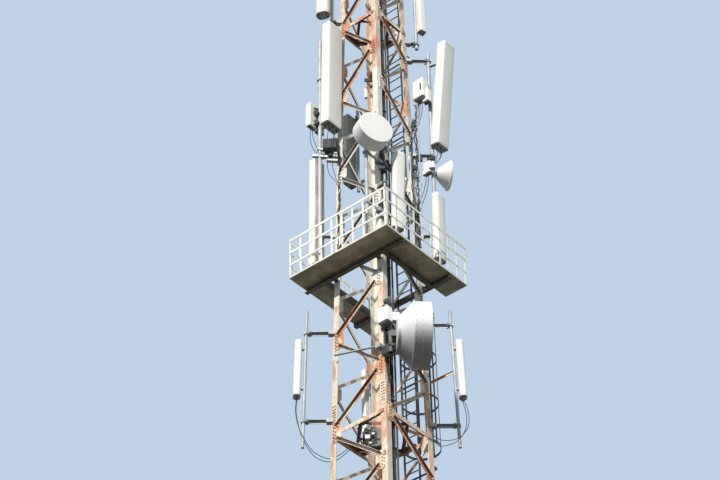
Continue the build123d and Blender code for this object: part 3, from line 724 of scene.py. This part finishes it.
class TOWER_OT_clamps(bpy.types.Operator):
    """Bolt split clamps round the pipes at every arm, with U-bolts and nuts"""

    bl_idname = "tower.clamps"
    bl_label = "Pipe clamps"

    def execute(self, context):
        nut = hex_bolt(0.020)
        rod, gap, shank, seat, wing = 0.006, 0.018, 0.085, 0.052, 0.078
        angle = np.linspace(0, np.pi, 9)[:, None]
        parts = []
        for (x, y), levels, radius in POLES:
            inward = -np.array((x, y, 0.0)) / math.hypot(x, y)
            across = np.array((-inward[1], inward[0], 0.0))
            reach = radius + gap
            arc = reach * (np.cos(angle) * across - np.sin(angle) * inward)
            bend = np.concatenate([arc[:1] + inward * shank, arc, arc[-1:] + inward * shank])
            for level in levels:
                for rise in (-0.016, 0.016):
                    spot = np.array((x, y, level + rise))
                    parts.append(tube(spot + bend, rod, 6))
                    ends = spot + inward * 0.06 + np.array([[-reach], [reach]]) * across
                    parts.append(stamped(nut, ends, (across, np.cross(inward, across), inward)))
                saddle, side = np.array((x, y, level)) + inward * seat, across * wing
                parts.append(bar(saddle - side, saddle + side, 0.008, 0.060))
        write_mesh("pipe_clamps", parts, "pipe_galvanised", smooth=False)
        return {"FINISHED"}


class TOWER_OT_radomes(bpy.types.Operator):
    """Build the panel antennas' moulded covers, with end caps and cable sockets"""

    bl_idname = "tower.radomes"
    bl_label = "Panel antennas"
    # The far large panel's dark cover is painted shade.
    special = {"panel_left_tall": "stained_radome", "panel_far_large": "shaded_radome"}

    def execute(self, context):
        sockets = []
        unit = turned_skin(PANEL_SOCKET, (0, 0, 0), (0, 0, 1), 12)
        for node, (*row, ports) in RADOMES.items():
            finish = self.special.get(node, "panel_radome")
            cover = write_mesh(node + "_cover", [radome(*row)], finish)
            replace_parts(cover, node)
            shade_by_angle(cover)
            sockets.append(stamped(unit, *port_places(*row[:8], ports)))
        write_mesh("panel_sockets", sockets, "end_cap", smooth=False)
        return {"FINISHED"}


# Skins turned about a dish's axis: distance along the axis, which is 0 at the front, and radius.
SHROUD = [(-0.302, 0.580), (-0.302, 0.602), (-0.290, 0.604), (-0.282, 0.6045), (-0.281, 0.6005),
          (-0.160, 0.6005), (-0.159, 0.6025), (-0.150, 0.6025), (-0.149, 0.6005), (-0.041, 0.6005),
          (-0.040, 0.606), (-0.002, 0.606), (0.004, 0.603), (0.004, 0.590)]
REFLECTOR_HUB = [(-0.583, 0.06), (-0.583, 0.330), (-0.578, 0.345), (-0.570, 0.350), (-0.520, 0.350),
                 (-0.516, 0.354)]
REFLECTOR_RIM = [(-0.318, 0.594), (-0.302, 0.598), (-0.300, 0.585)]
DRUM_SIDE = [(-0.320, 0.20), (-0.320, 0.335), (-0.312, 0.345), (-0.300, 0.347), (-0.060, 0.350),
             (-0.059, 0.354), (-0.012, 0.354)]
DRUM_FACE = [(0.0, 0.335), (0.003, 0.25), (0.004, 0.02)]
SMALL_HUB = [(-0.272, 0.03), (-0.272, 0.080)]
SMALL_RIM = [(-0.044, 0.297), (-0.038, 0.302), (-0.010, 0.302), (-0.004, 0.298), (0.0, 0.290), (0.004, 0.15),
             (0.005, 0.02)]


def aim(x, y, level, heading, reach=0.0):
    """Front centre and axis of a dish, at a reach from a place; the heading counts from +X towards +Y."""
    turn = math.radians(heading)
    axis = np.array((math.cos(turn), math.sin(turn), 0.0))
    return np.array((x, y, level)) + reach * axis, axis


def flare(start, length, radius, growth, power):
    """Back of a dish, as a profile: its radius grows as a power of the share of its length."""
    share = np.linspace(0, 1, 12)
    return list(zip(start + length * share, radius + growth * share**power))


def dish_skin(name, node, profile, place, finish, around=96, edged=True):
    """Turned skin in place of a CAD node; the place is the front centre and the axis, and an edged skin shows
    its rims sharp."""
    skin = write_mesh(name, [turned_skin(profile, *place, around)], finish)
    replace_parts(skin, node)
    if edged:
        shade_by_angle(skin)


class TOWER_OT_dishes(bpy.types.Operator):
    """Build the shrouded dish, the drum and the small dish with their rims, seams and rivets"""

    bl_idname = "tower.dishes"
    bl_label = "Dishes"

    def execute(self, context):
        front, axis = large = aim(1.312, -0.231, 3.430, 45)
        dish_skin("dish_shroud_skin", "dish_shroud", SHROUD, large, "dish_shell")
        cone = REFLECTOR_HUB + flare(-0.515, 0.195, 0.354, 0.222, 0.92) + REFLECTOR_RIM
        dish_skin("dish_reflector_skin", "dish_reflector", cone, large, "dish_shell")
        edge = 0.585
        bulge = [(0.0, 0.590)] + [(0.016 - 0.014 * (r / edge) ** 2, r) for r in np.linspace(edge, 0.02, 10)]
        dish_skin("dish_membrane", "dish_radome", bulge, large, "dish_radome", edged=False)
        rings = [ring_places(front, axis, distance, 0.6005, 36) for distance in (-0.275, -0.165, -0.055)]
        rivets = [studs(rivet_head(0.007, 0.004), places, out, axis) for places, out in rings]
        write_mesh("dish_rivets", rivets, "end_cap", smooth=False)

        arc = np.linspace(0, np.pi / 2, 6)
        bend = list(zip(-0.012 + 0.012 * np.sin(arc), 0.342 + 0.012 * np.cos(arc)))
        drum, place = DRUM_SIDE + bend + DRUM_FACE, aim(0.942, -1.103, 8.040, -22.5)
        dish_skin("drum_skin", "drum_antenna", drum, place, "dish_radome")
        small = SMALL_HUB + flare(-0.268, 0.222, 0.082, 0.200, 0.85) + SMALL_RIM
        place = aim(0.800, 0.775, 8.200, 52, 0.33)
        dish_skin("small_dish_skin", "small_dish", small, place, "dish_radome", 72)
        return {"FINISHED"}


# Radio units: x and y of the middle of the back, levels of the foot and the top, width, depth and heading.
RADIOS = {
    "radio_units": [
        (-0.835, -0.650, 9.28, 9.90, 0.200, 0.130, 270), (-0.835, -0.890, 9.28, 9.90, 0.200, 0.130, 270),
        (0.740, 0.700, 10.05, 10.56, 0.270, 0.240, 0), (0.850, 0.700, 9.95, 10.30, 0.150, 0.150, 0)],
    "dish_radios": [
        (0.826, -0.754, 3.60, 3.93, 0.240, 0.170, 0), (0.770, 0.737, 8.13, 8.43, 0.170, 0.130, 0)],
}

# Dark round opening in a radio's side, as a profile of height and radius.
OPENING = [(-0.12, 0.050), (-0.118, 0.060), (0.0, 0.062), (0.004, 0.058), (0.004, 0.040)]


def radio(x, y, low, high, width, depth, turn):
    """Radio unit: a bevelled case with a raised cover on one broad side and, on the other, upright cooling
    fins in even steps. The fins of a turned unit stand in front, those of the others behind."""
    axes = across, out, _ = heading_axes(turn)
    tall = high - low
    middle = np.array((x, y, (low + high) / 2))
    front = 1.0 if turn else -1.0
    centre = middle + out * depth * (0.5 - 0.08 * front)
    case = box_skin(centre, (width * 0.98, depth * 0.82, tall), axes, 0.014)
    raised = (width * 0.86, depth * 0.05, tall * 0.90)
    cover = box_skin(centre - out * front * depth * 0.40, raised, axes, 0.004)
    count = int(width / 0.022)
    fin = box_skin((0, 0, 0), (0.006, depth * 0.16, tall * 0.82), np.eye(3), 0.002)
    steps = (np.arange(count) - (count - 1) / 2) * 0.9 * width / count
    places = middle + steps[:, None] * across + out * depth * (0.5 + 0.41 * front)
    return [case, cover, stamped(fin, places, axes)]


class TOWER_OT_radios(bpy.types.Operator):
    """Build the radio units with their fins, openings and sockets"""

    bl_idname = "tower.radios"
    bl_label = "Radio units"

    def execute(self, context):
        unit = turned_skin(RADIO_SOCKET, (0, 0, 0), (0, 0, 1), 12)
        dark = []
        for node, rows in RADIOS.items():
            cases = [piece for row in rows for piece in radio(*row)]
            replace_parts(write_mesh(node + "_cases", cases, "radio_case", smooth=False), node)
            for x, y, low, high, width, depth, turn in rows:
                axes = across, out, _ = heading_axes(turn)
                foot = np.array((x, y, low)) + out * depth / 2
                dark.append(stamped(unit, foot + (np.arange(4) - 1.5)[:, None] * across * width * 0.22, axes))
        for level in (9.400, 9.660):
            dark.append(turned_skin(OPENING, (-0.790, -0.870, level), (0.35, -0.94, 0.0), 20))
        slot = bar((0.815, 0.457, 10.22), (0.815, 0.457, 10.40), 0.030, 0.008)
        dark.append(slot)
        write_mesh("radio_sockets", dark, "end_cap", smooth=False)
        return {"FINISHED"}


# Bars: start, end, width and depth. Boxes: centre, size and heading.
PALE_BARS = [
    ((-0.892, -0.840, 8.572), (-0.620, -0.700, 8.470), 0.075, 0.045),
    ((-0.660, -0.690, 8.420), (-0.480, -0.568, 8.380), 0.080, 0.045),
    ((-0.800, -0.812, 8.720), (-0.594, -0.655, 8.650), 0.055, 0.040),
]
STAY_BARS = [
    ((0.620, 0.610, 3.210), (0.948, 0.899, 3.468), 0.045, 0.006),
    ((0.620, 0.610, 3.190), (0.948, 0.899, 3.448), 0.006, 0.045),
]
WHITE_BOXES = [
    ((0.940, -0.690, 3.760), (0.130, 0.110, 0.190), 45), ((-0.515, 0.370, 10.90), (0.070, 0.060, 0.300), 0),
    ((0.880, 0.640, 8.260), (0.110, 0.100, 0.150), 30), ((0.700, 0.640, 8.180), (0.080, 0.070, 0.110), 0),
]
DARK_BOXES = [
    ((-0.560, -0.690, 8.760), (0.300, 0.150, 0.250), 35),
    ((-0.640, -0.640, 8.600), (0.160, 0.100, 0.140), 20),
    ((0.840, -0.640, 3.420), (0.130, 0.100, 0.200), 45), ((0.760, -0.620, 3.230), (0.120, 0.090, 0.180), 20),
    ((0.860, -0.630, 3.200), (0.080, 0.060, 0.150), 60), ((0.800, -0.760, 4.160), (0.110, 0.060, 0.090), 20),
    ((0.850, -0.760, 4.080), (0.060, 0.060, 0.070), 60), ((0.620, -0.612, 4.200), (0.070, 0.070, 0.090), 45),
    ((0.790, 0.740, 8.560), (0.150, 0.090, 0.070), 20), ((0.640, 0.580, 8.570), (0.100, 0.080, 0.160), 40),
    ((0.560, 0.480, 8.300), (0.080, 0.060, 0.120), 40), ((0.560, -0.500, 8.080), (0.090, 0.060, 0.260), 90),
    ((0.710, -0.660, 3.155), (0.150, 0.100, 0.200), 45), ((0.800, -0.700, 3.140), (0.120, 0.100, 0.180), 20),
]

# Plate inside the lower diaphragm. Devices on it: places across and up, width, depth and height.
# Coils of spare cable on it: places across and up, radius and stand-off.
PLATE = np.array((-0.155, -0.142, 2.000))
PLATE_HEADING = 40
WHITE_DEVICES = [
    (-0.040, -0.045, 0.090, 0.100, 0.090), (0.010, -0.175, 0.060, 0.090, 0.060),
    (0.060, 0.020, 0.050, 0.100, 0.050), (-0.100, 0.120, 0.060, 0.050, 0.070),
]
DARK_DEVICES = [
    (0.040, 0.060, 0.120, 0.050, 0.140), (-0.090, 0.010, 0.070, 0.070, 0.080),
    (0.060, -0.100, 0.100, 0.040, 0.080), (-0.050, -0.150, 0.060, 0.060, 0.060),
]
COILS = [
    (0.030, -0.070, 0.120, 0.055), (0.045, -0.080, 0.105, 0.070), (0.020, -0.060, 0.090, 0.085),
    (-0.035, 0.060, 0.085, 0.050), (-0.020, 0.075, 0.100, 0.065), (0.060, 0.090, 0.075, 0.070),
    (0.070, 0.070, 0.090, 0.055), (0.000, -0.120, 0.080, 0.065),
]

# Stand-off brackets of the cables beside the right leg, and the clamp bar round the back leg.
BRACKET_LEVELS = (9.40, 8.05, 7.20, 6.30)
BACK_CLAMP_LEVEL = 11.2


def coil(centre, radius, stand, axes):
    """One turn of spare cable: an upright ellipse, (0.8 r cos a, r sin a), that sways twice in depth."""
    across, out, up = axes
    turn = np.linspace(0, 2 * np.pi, 33)[:, None]
    sway = stand + 0.012 * np.sin(2 * turn)
    ring = 0.8 * radius * np.cos(turn) * across + radius * np.sin(turn) * up + sway * out
    return tube(centre + ring, 0.0075, 6)


class TOWER_OT_fittings(bpy.types.Operator):
    """Add the cross bars, boxes, brackets, the stay, the conduit and the plate with its devices and coils"""

    bl_idname = "tower.fittings"
    bl_label = "Boxes and bars"

    def execute(self, context):
        pale = [bar(*row) for row in PALE_BARS]
        pale += [box_skin(spot, size, heading_axes(turn), 0.010) for spot, size, turn in WHITE_BOXES]
        dark = [box_skin(spot, size, heading_axes(turn), 0.012) for spot, size, turn in DARK_BOXES]
        across, out, up = axes = heading_axes(PLATE_HEADING)
        for devices, boxes in ((WHITE_DEVICES, pale), (DARK_DEVICES, dark)):
            for u, v, width, depth, tall in devices:
                middle = PLATE - u * across + v * up + out * depth / 2
                boxes.append(box_skin(middle, (width, depth, tall), axes, 0.008))
        coils = [coil(PLATE - u * across + v * up, radius, stand, axes) for u, v, radius, stand in COILS]
        write_mesh("coiled_cables", coils, "cable_grey")
        sheet = box_skin(PLATE - 0.004 * out, (0.250, 0.008, 0.260), axes, 0.002)
        arm = bar((-0.310, -0.300, 1.960), (-0.020, -0.030, 1.960), 0.050, 0.008)
        dark += [sheet, arm]
        for level in BRACKET_LEVELS:
            corner = half(level)
            dark.append(bar((corner - 0.02, corner - 0.04, level), (0.668, 0.552, level), 0.030, 0.008))
        conduit = tube([(0.655, 0.545, level) for level in np.linspace(10.045, 5.480, 12)], 0.013, 10)
        write_mesh("side_conduit", [conduit], "pipe_galvanised")
        level, reach = BACK_CLAMP_LEVEL, half(BACK_CLAMP_LEVEL)
        dark.append(bar((0.195 - reach, reach, level), (-reach - 0.005, reach - 0.195, level), 0.030, 0.080))
        stay = [bar(*row) for row in STAY_BARS]
        write_mesh("right_low_stay", stay, "mast_paint", smooth=False)
        write_mesh("small_white_boxes", pale, "radio_case", smooth=False)
        write_mesh("small_dark_boxes", dark, "end_cap", smooth=False)
        return {"FINISHED"}


# Cable bundles: route, number of cables, spread, radius and seed.
BUNDLES = [
    ([(-0.450, -0.575, 8.56), (-0.430, -0.560, 8.30), (-0.470, -0.545, 7.90), (-0.460, -0.550, 7.40),
      (-0.480, -0.560, 6.60), (-0.485, -0.562, 5.52)], 6, 0.016, 0.010, 3),
    ([(0.575, 0.500, 9.60), (0.545, 0.470, 9.20), (0.550, 0.440, 8.60), (0.548, 0.430, 7.90),
      (0.560, 0.430, 7.20), (0.575, 0.440, 6.40), (0.590, 0.450, 5.52)], 3, 0.018, 0.008, 4),
    ([(0.640, 0.570, 10.04), (0.615, 0.552, 9.70), (0.580, 0.530, 9.40), (0.598, 0.533, 8.80),
      (0.590, 0.528, 8.30), (0.602, 0.532, 7.90), (0.588, 0.525, 7.30), (0.598, 0.530, 6.80),
      (0.600, 0.532, 6.30), (0.625, 0.530, 5.52)], 6, 0.020, 0.007, 12),
    ([(0.850, -0.670, 3.45), (0.810, -0.665, 3.27), (0.720, -0.630, 3.17), (0.650, -0.600, 3.10),
      (0.628, -0.560, 2.90), (0.634, -0.530, 2.60)], 6, 0.016, 0.011, 6),
    ([(0.860, -0.670, 4.15), (0.840, -0.670, 3.95), (0.760, -0.650, 3.81), (0.665, -0.610, 3.76),
      (0.618, -0.560, 3.60), (0.620, -0.530, 3.40)], 4, 0.012, 0.009, 8),
    ([(-0.160, -0.180, 1.98), (-0.265, -0.285, 1.95), (-0.130, -0.440, 1.93), (0.010, -0.570, 1.94),
      (0.240, -0.610, 1.95), (0.500, -0.615, 1.96)], 5, 0.012, 0.009, 9),
    ([(0.560, -0.520, 8.55), (0.563, -0.490, 8.25), (0.560, -0.500, 7.95), (0.572, -0.480, 7.60),
      (0.575, -0.490, 7.20), (0.580, -0.480, 6.60)], 8, 0.026, 0.010, 15),
]

# Riser cables: their number, how many start at the foot, which have a grey jacket, the clips on their way,
# and the clip at which the others start.
RISERS = 11
FROM_FOOT = 5
GREY_RISERS = (3, 8)
CLIPS = 60
FIRST_CLIP = 22


class TOWER_OT_cables(bpy.types.Operator):
    """Run the clipped cables up the mast and between the antennas"""

    bl_idname = "tower.cables"
    bl_label = "Clipped cables"

    def execute(self, context):
        rng = np.random.default_rng(7)
        black, grey = [], []
        levels = np.linspace(0.35, 13.7, CLIPS)
        # The risers lie side by side in three layers, each a little off its place at every clip.
        for index in range(RISERS):
            inward = 0.062 + 0.018 * (index % 3) + 0.006 * rng.standard_normal(CLIPS)
            along = 0.130 + 0.016 * index + 0.008 * rng.standard_normal(CLIPS)
            path = np.column_stack([half(levels) - inward, along - half(levels), levels])
            path = path[0 if index < FROM_FOOT else FIRST_CLIP:]
            cable = tube(smooth_path(path, 4 * len(path)), 0.008 + 0.003 * (index % 2), 6)
            (grey if index in GREY_RISERS else black).append(cable)
        for row in BUNDLES:
            black += bundle(*row)
        write_mesh("mast_cables_black", black, "cable_black")
        write_mesh("mast_cables_grey", grey, "cable_grey")
        return {"FINISHED"}


# Points on a free cord's way: those that shape its spline, and those between which its steps are taken.
SPLINE_POINTS = 22
MEASURED_POINTS = 400

# Route of each free cord, from the panel, radio or arm that it leaves to the steel that it ends on.
HANGING = {
    "jumper_left_low_a": [(-1.050, -1.043, 2.800), (-1.066, -1.078, 2.550), (-1.013, -1.045, 2.133),
                          (-0.895, -0.881, 1.738), (-0.828, -0.694, 1.640), (-0.760, -0.507, 1.640),
                          (-0.700, -0.350, 1.760), (-0.650, -0.150, 1.985)],
    "jumper_left_low_b": [(-1.093, -1.000, 2.800), (-1.115, -1.000, 2.500), (-1.060, -0.920, 2.050),
                          (-0.930, -0.790, 1.680), (-0.840, -0.640, 1.580), (-0.750, -0.480, 1.590),
                          (-0.690, -0.320, 1.720), (-0.648, -0.100, 1.985)],
    "jumper_right_low_a": [(1.071, 0.978, 2.860), (1.125, 1.040, 2.600), (1.141, 1.022, 2.294),
                           (1.085, 0.896, 2.018), (0.942, 0.790, 1.930), (0.760, 0.690, 1.960),
                           (0.646, 0.610, 2.080)],
    "jumper_left_radio_c": [(-0.850, -0.900, 9.270), (-0.838, -0.905, 9.030), (-0.790, -0.875, 8.800),
                            (-0.762, -0.800, 8.600)],
    "jumper_left_large_a": [(-0.460, -0.700, 9.065), (-0.447, -0.735, 8.900), (-0.440, -0.770, 8.730),
                            (-0.470, -0.755, 8.570), (-0.545, -0.690, 8.480), (-0.598, -0.611, 8.510)],
    "jumper_left_large_b": [(-0.380, -0.800, 9.065), (-0.372, -0.800, 8.880), (-0.372, -0.755, 8.660),
                            (-0.395, -0.680, 8.480), (-0.432, -0.610, 8.350), (-0.470, -0.552, 8.240)],
    "jumper_left_large_c": [(-0.420, -0.920, 9.065), (-0.420, -0.925, 8.880), (-0.450, -0.925, 8.690),
                            (-0.530, -0.900, 8.560), (-0.640, -0.850, 8.550), (-0.732, -0.790, 8.650)],
    "jumper_left_radio_a": [(-0.900, -0.650, 9.270), (-0.905, -0.655, 9.050), (-0.890, -0.690, 8.820),
                            (-0.822, -0.742, 8.660)],
    "jumper_left_radio_b": [(-0.900, -0.890, 9.270), (-0.915, -0.892, 9.050), (-0.895, -0.865, 8.830),
                            (-0.850, -0.815, 8.690), (-0.812, -0.788, 8.620)],
    "jumper_right_large_a": [(0.935, 0.780, 8.830), (0.936, 0.782, 8.740), (0.918, 0.786, 8.640),
                             (0.880, 0.790, 8.560), (0.853, 0.792, 8.460)],
    "jumper_right_large_b": [(0.920, 0.910, 8.830), (0.918, 0.908, 8.720), (0.895, 0.885, 8.610),
                             (0.850, 0.845, 8.530), (0.818, 0.808, 8.460)],
    "jumper_right_large_c": [(0.955, 0.845, 8.830), (0.957, 0.847, 8.720), (0.935, 0.845, 8.600),
                             (0.890, 0.830, 8.520), (0.848, 0.803, 8.460)],
    "jumper_right_radio_a": [(0.700, 0.580, 10.040), (0.692, 0.577, 9.840), (0.650, 0.565, 9.600),
                             (0.590, 0.535, 9.420), (0.535, 0.470, 9.240)],
    "jumper_right_radio_b": [(0.755, 0.590, 10.040), (0.735, 0.590, 9.800), (0.685, 0.575, 9.550),
                             (0.610, 0.545, 9.280), (0.540, 0.480, 9.020)],
    "jumper_left_arm_a": [(-0.670, -0.645, 8.500), (-0.690, -0.640, 8.360), (-0.665, -0.630, 8.150),
                          (-0.600, -0.605, 8.000), (-0.540, -0.575, 7.900), (-0.500, -0.556, 7.770)],
    "jumper_left_arm_b": [(-0.600, -0.605, 8.500), (-0.600, -0.592, 8.380), (-0.580, -0.592, 8.200),
                          (-0.540, -0.580, 8.030), (-0.500, -0.556, 7.860)],
    "jumper_small_radio_a": [(0.715, 0.650, 8.120), (0.710, 0.645, 7.950), (0.670, 0.610, 7.700),
                             (0.615, 0.550, 7.400), (0.565, 0.480, 7.100)],
    "jumper_small_radio_b": [(0.760, 0.665, 8.120), (0.755, 0.660, 7.900), (0.705, 0.625, 7.600),
                             (0.630, 0.560, 7.300), (0.568, 0.485, 7.000)],
    "jumper_right_low_b": [(1.028, 1.021, 2.860), (1.070, 1.060, 2.550), (1.094, 0.987, 2.200),
                           (1.035, 0.846, 1.920), (0.892, 0.752, 1.830), (0.720, 0.680, 1.850),
                           (0.648, 0.618, 1.980)],
}


def cord_curve(name, path, diameter, finish):
    """Free cord: a spline with control points on the smooth path, given its round thickness."""
    data = bpy.data.curves.new(name, "CURVE")
    data.dimensions = "3D"
    data.bevel_depth = diameter / 2
    data.bevel_resolution = 3
    data.use_fill_caps = True
    spline = data.splines.new("NURBS")
    points = smooth_path(path, SPLINE_POINTS)
    spline.points.add(len(points) - 1)
    spline.points.foreach_set("co", np.column_stack([points, np.ones(len(points))]).ravel())
    spline.order_u = 3
    spline.use_endpoint_u = True
    spline.resolution_u = 6
    data.materials.append(Finishes.get(finish))
    piece = bpy.data.objects.new(name, data)
    bpy.context.scene.collection.objects.link(piece)
    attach(piece, "root")
    steps = np.diff(smooth_path(path, MEASURED_POINTS), axis=0)


class TOWER_OT_jumpers(bpy.types.Operator):
    """Hang the jumper cables from the panels, radios and arms to the steel"""

    bl_idname = "tower.jumpers"
    bl_label = "Jumper cables"

    def execute(self, context):
        for name, path in HANGING.items():
            cord_curve(name, path, context.scene.tower.jumper_diameter, "cable_black")
        return {"FINISHED"}


def placed(side, up, back, place):
    """Matrix of an object at a place whose X, Y and Z axes lie along three directions."""
    axes = np.eye(4)
    axes[:3] = np.column_stack([side, up, back, place])
    return Matrix(axes.tolist())


class TOWER_OT_stage(bpy.types.Operator):
    """Lay the pale floor, set the lights and the camera"""

    bl_idname = "tower.stage"
    bl_label = "Stage"
    backdrop, light_above, light_below = (0.52, 0.64, 0.79), (0.45, 0.48, 0.52), (0.066, 0.067, 0.062)
    floor_shown, floor_lit = (0.62, 0.64, 0.66), (0.16, 0.16, 0.15)
    key_heading, key_lift, key_strength, key_colour = 23, 33, 3.9, (1.0, 0.98, 0.94)
    camera_place = (19.0018, -23.1825, -18.4746)
    camera_azimuth, camera_pitch, camera_roll = 39.969, 39.793, -0.8807
    camera_lens = 103.64

    def execute(self, context):
        scene = context.scene
        scene.view_settings.view_transform = "Standard"
        self.lay_floor(scene)
        self.light_room(scene)
        self.place_camera(scene)
        return {"FINISHED"}

    def lay_floor(self, scene):
        """Pale disc under the base frame, clear to the camera from below: (r cos a, r sin a)."""
        radius, around = 9, 96
        angle = np.linspace(0, 2 * np.pi, around, endpoint=False)
        points = np.column_stack([radius * np.cos(angle), radius * np.sin(angle), np.full(around, -0.002)])
        mesh = bpy.data.meshes.new("floor")
        mesh.from_pydata(points, [], [list(range(around))])
        floor = bpy.data.objects.new("floor", mesh)
        scene.collection.objects.link(floor)
        paint = new_paint("pale_floor")
        seen = paint.backdrop_seen()
        colour = paint.mix(seen, self.floor_lit, self.floor_shown)
        top = paint.node("ShaderNodeBsdfDiffuse", None, {"Color": colour})
        clear = paint.node("ShaderNodeBsdfTransparent")
        below = paint.node("ShaderNodeNewGeometry", output="Backfacing")
        surface = paint.node("ShaderNodeMixShader", None, {0: below * seen, 1: top, 2: clear})
        mesh.materials.append(paint.end(surface))

    def light_room(self, scene):
        """Soft light that is dimmer from below, a pale backdrop that rays show, and a key light."""
        world = bpy.data.worlds.new("soft_room")
        room = Paint(world)
        height = room.axis(2, room.node("ShaderNodeTexCoord", output="Generated"))
        ambient = room.mix(height.step(-0.55, 0.30), self.light_below, self.light_above)
        colour = room.mix(room.backdrop_seen(), ambient, self.backdrop)
        room.end(room.node("ShaderNodeBackground", None, {"Color": colour}))
        scene.world = world
        lamp = bpy.data.lights.new("key_light", "SUN")
        lamp.energy = self.key_strength
        lamp.color = self.key_colour
        lamp.angle = math.radians(2)
        key = bpy.data.objects.new("key_light", lamp)
        scene.collection.objects.link(key)
        turn, lift = math.radians(self.key_heading), math.radians(self.key_lift)
        away = np.array((math.sin(turn) * math.cos(lift), -math.cos(turn) * math.cos(lift), math.sin(lift)))
        side = np.array((math.cos(turn), math.sin(turn), 0.0))
        key.matrix_world = placed(side, np.cross(away, side), away, away * 20)

    def place_camera(self, scene):
        """The photograph's viewpoint: below the tower's foot, looking up at its middle."""
        angles = (self.camera_azimuth, self.camera_pitch, self.camera_roll)
        azimuth, pitch, roll = (math.radians(angle) for angle in angles)
        ahead = np.array((-math.sin(azimuth), math.cos(azimuth), 0.0))
        right = np.array((math.cos(azimuth), math.sin(azimuth), 0.0))
        up = np.array((0.0, 0.0, 1.0))
        rise = up * math.cos(pitch) - ahead * math.sin(pitch)
        data = bpy.data.cameras.new("view")
        data.sensor_width = 36.0
        data.lens = self.camera_lens
        data.clip_end = 500.0
        camera = bpy.data.objects.new("view", data)
        scene.collection.objects.link(camera)
        side = right * math.cos(roll) + rise * math.sin(roll)
        top = rise * math.cos(roll) - right * math.sin(roll)
        back = -(ahead * math.cos(pitch) + up * math.sin(pitch))
        camera.matrix_world = placed(side, top, back, self.camera_place)
        scene.camera = camera


class TOWER_PT_panel(bpy.types.Panel):
    """Lists the settings and the steps in the 3D view's sidebar"""

    bl_idname = "TOWER_PT_panel"
    bl_label = "Cell tower"
    bl_space_type = "VIEW_3D"
    bl_region_type = "UI"
    bl_category = "Tower"

    def draw(self, context):
        for name in TowerSettings.__annotations__:
            self.layout.prop(context.scene.tower, name)
        for step in STEPS:
            self.layout.operator(step.bl_idname)


STEPS = (TOWER_OT_finishes, TOWER_OT_bolts, TOWER_OT_clamps, TOWER_OT_radomes, TOWER_OT_dishes,
         TOWER_OT_radios, TOWER_OT_fittings, TOWER_OT_cables, TOWER_OT_jumpers, TOWER_OT_stage)


def register():
    """Adds the settings, the steps and the panel to Blender."""
    bpy.utils.register_class(TowerSettings)
    bpy.types.Scene.tower = bpy.props.PointerProperty(type=TowerSettings)
    for step in STEPS:
        bpy.utils.register_class(step)
    bpy.utils.register_class(TOWER_PT_panel)


def unregister():
    """Takes them away again, in reverse order."""
    bpy.utils.unregister_class(TOWER_PT_panel)
    for step in reversed(STEPS):
        bpy.utils.unregister_class(step)
    del bpy.types.Scene.tower
    bpy.utils.unregister_class(TowerSettings)


def main():
    """Runs every step in order."""
    register()
    bpy.ops.tower.finishes()
    bpy.ops.tower.bolts()
    bpy.ops.tower.clamps()
    bpy.ops.tower.radomes()
    bpy.ops.tower.dishes()
    bpy.ops.tower.radios()
    bpy.ops.tower.fittings()
    bpy.ops.tower.cables()
    bpy.ops.tower.jumpers()
    bpy.ops.tower.stage()


if __name__ == "__main__":
    main()
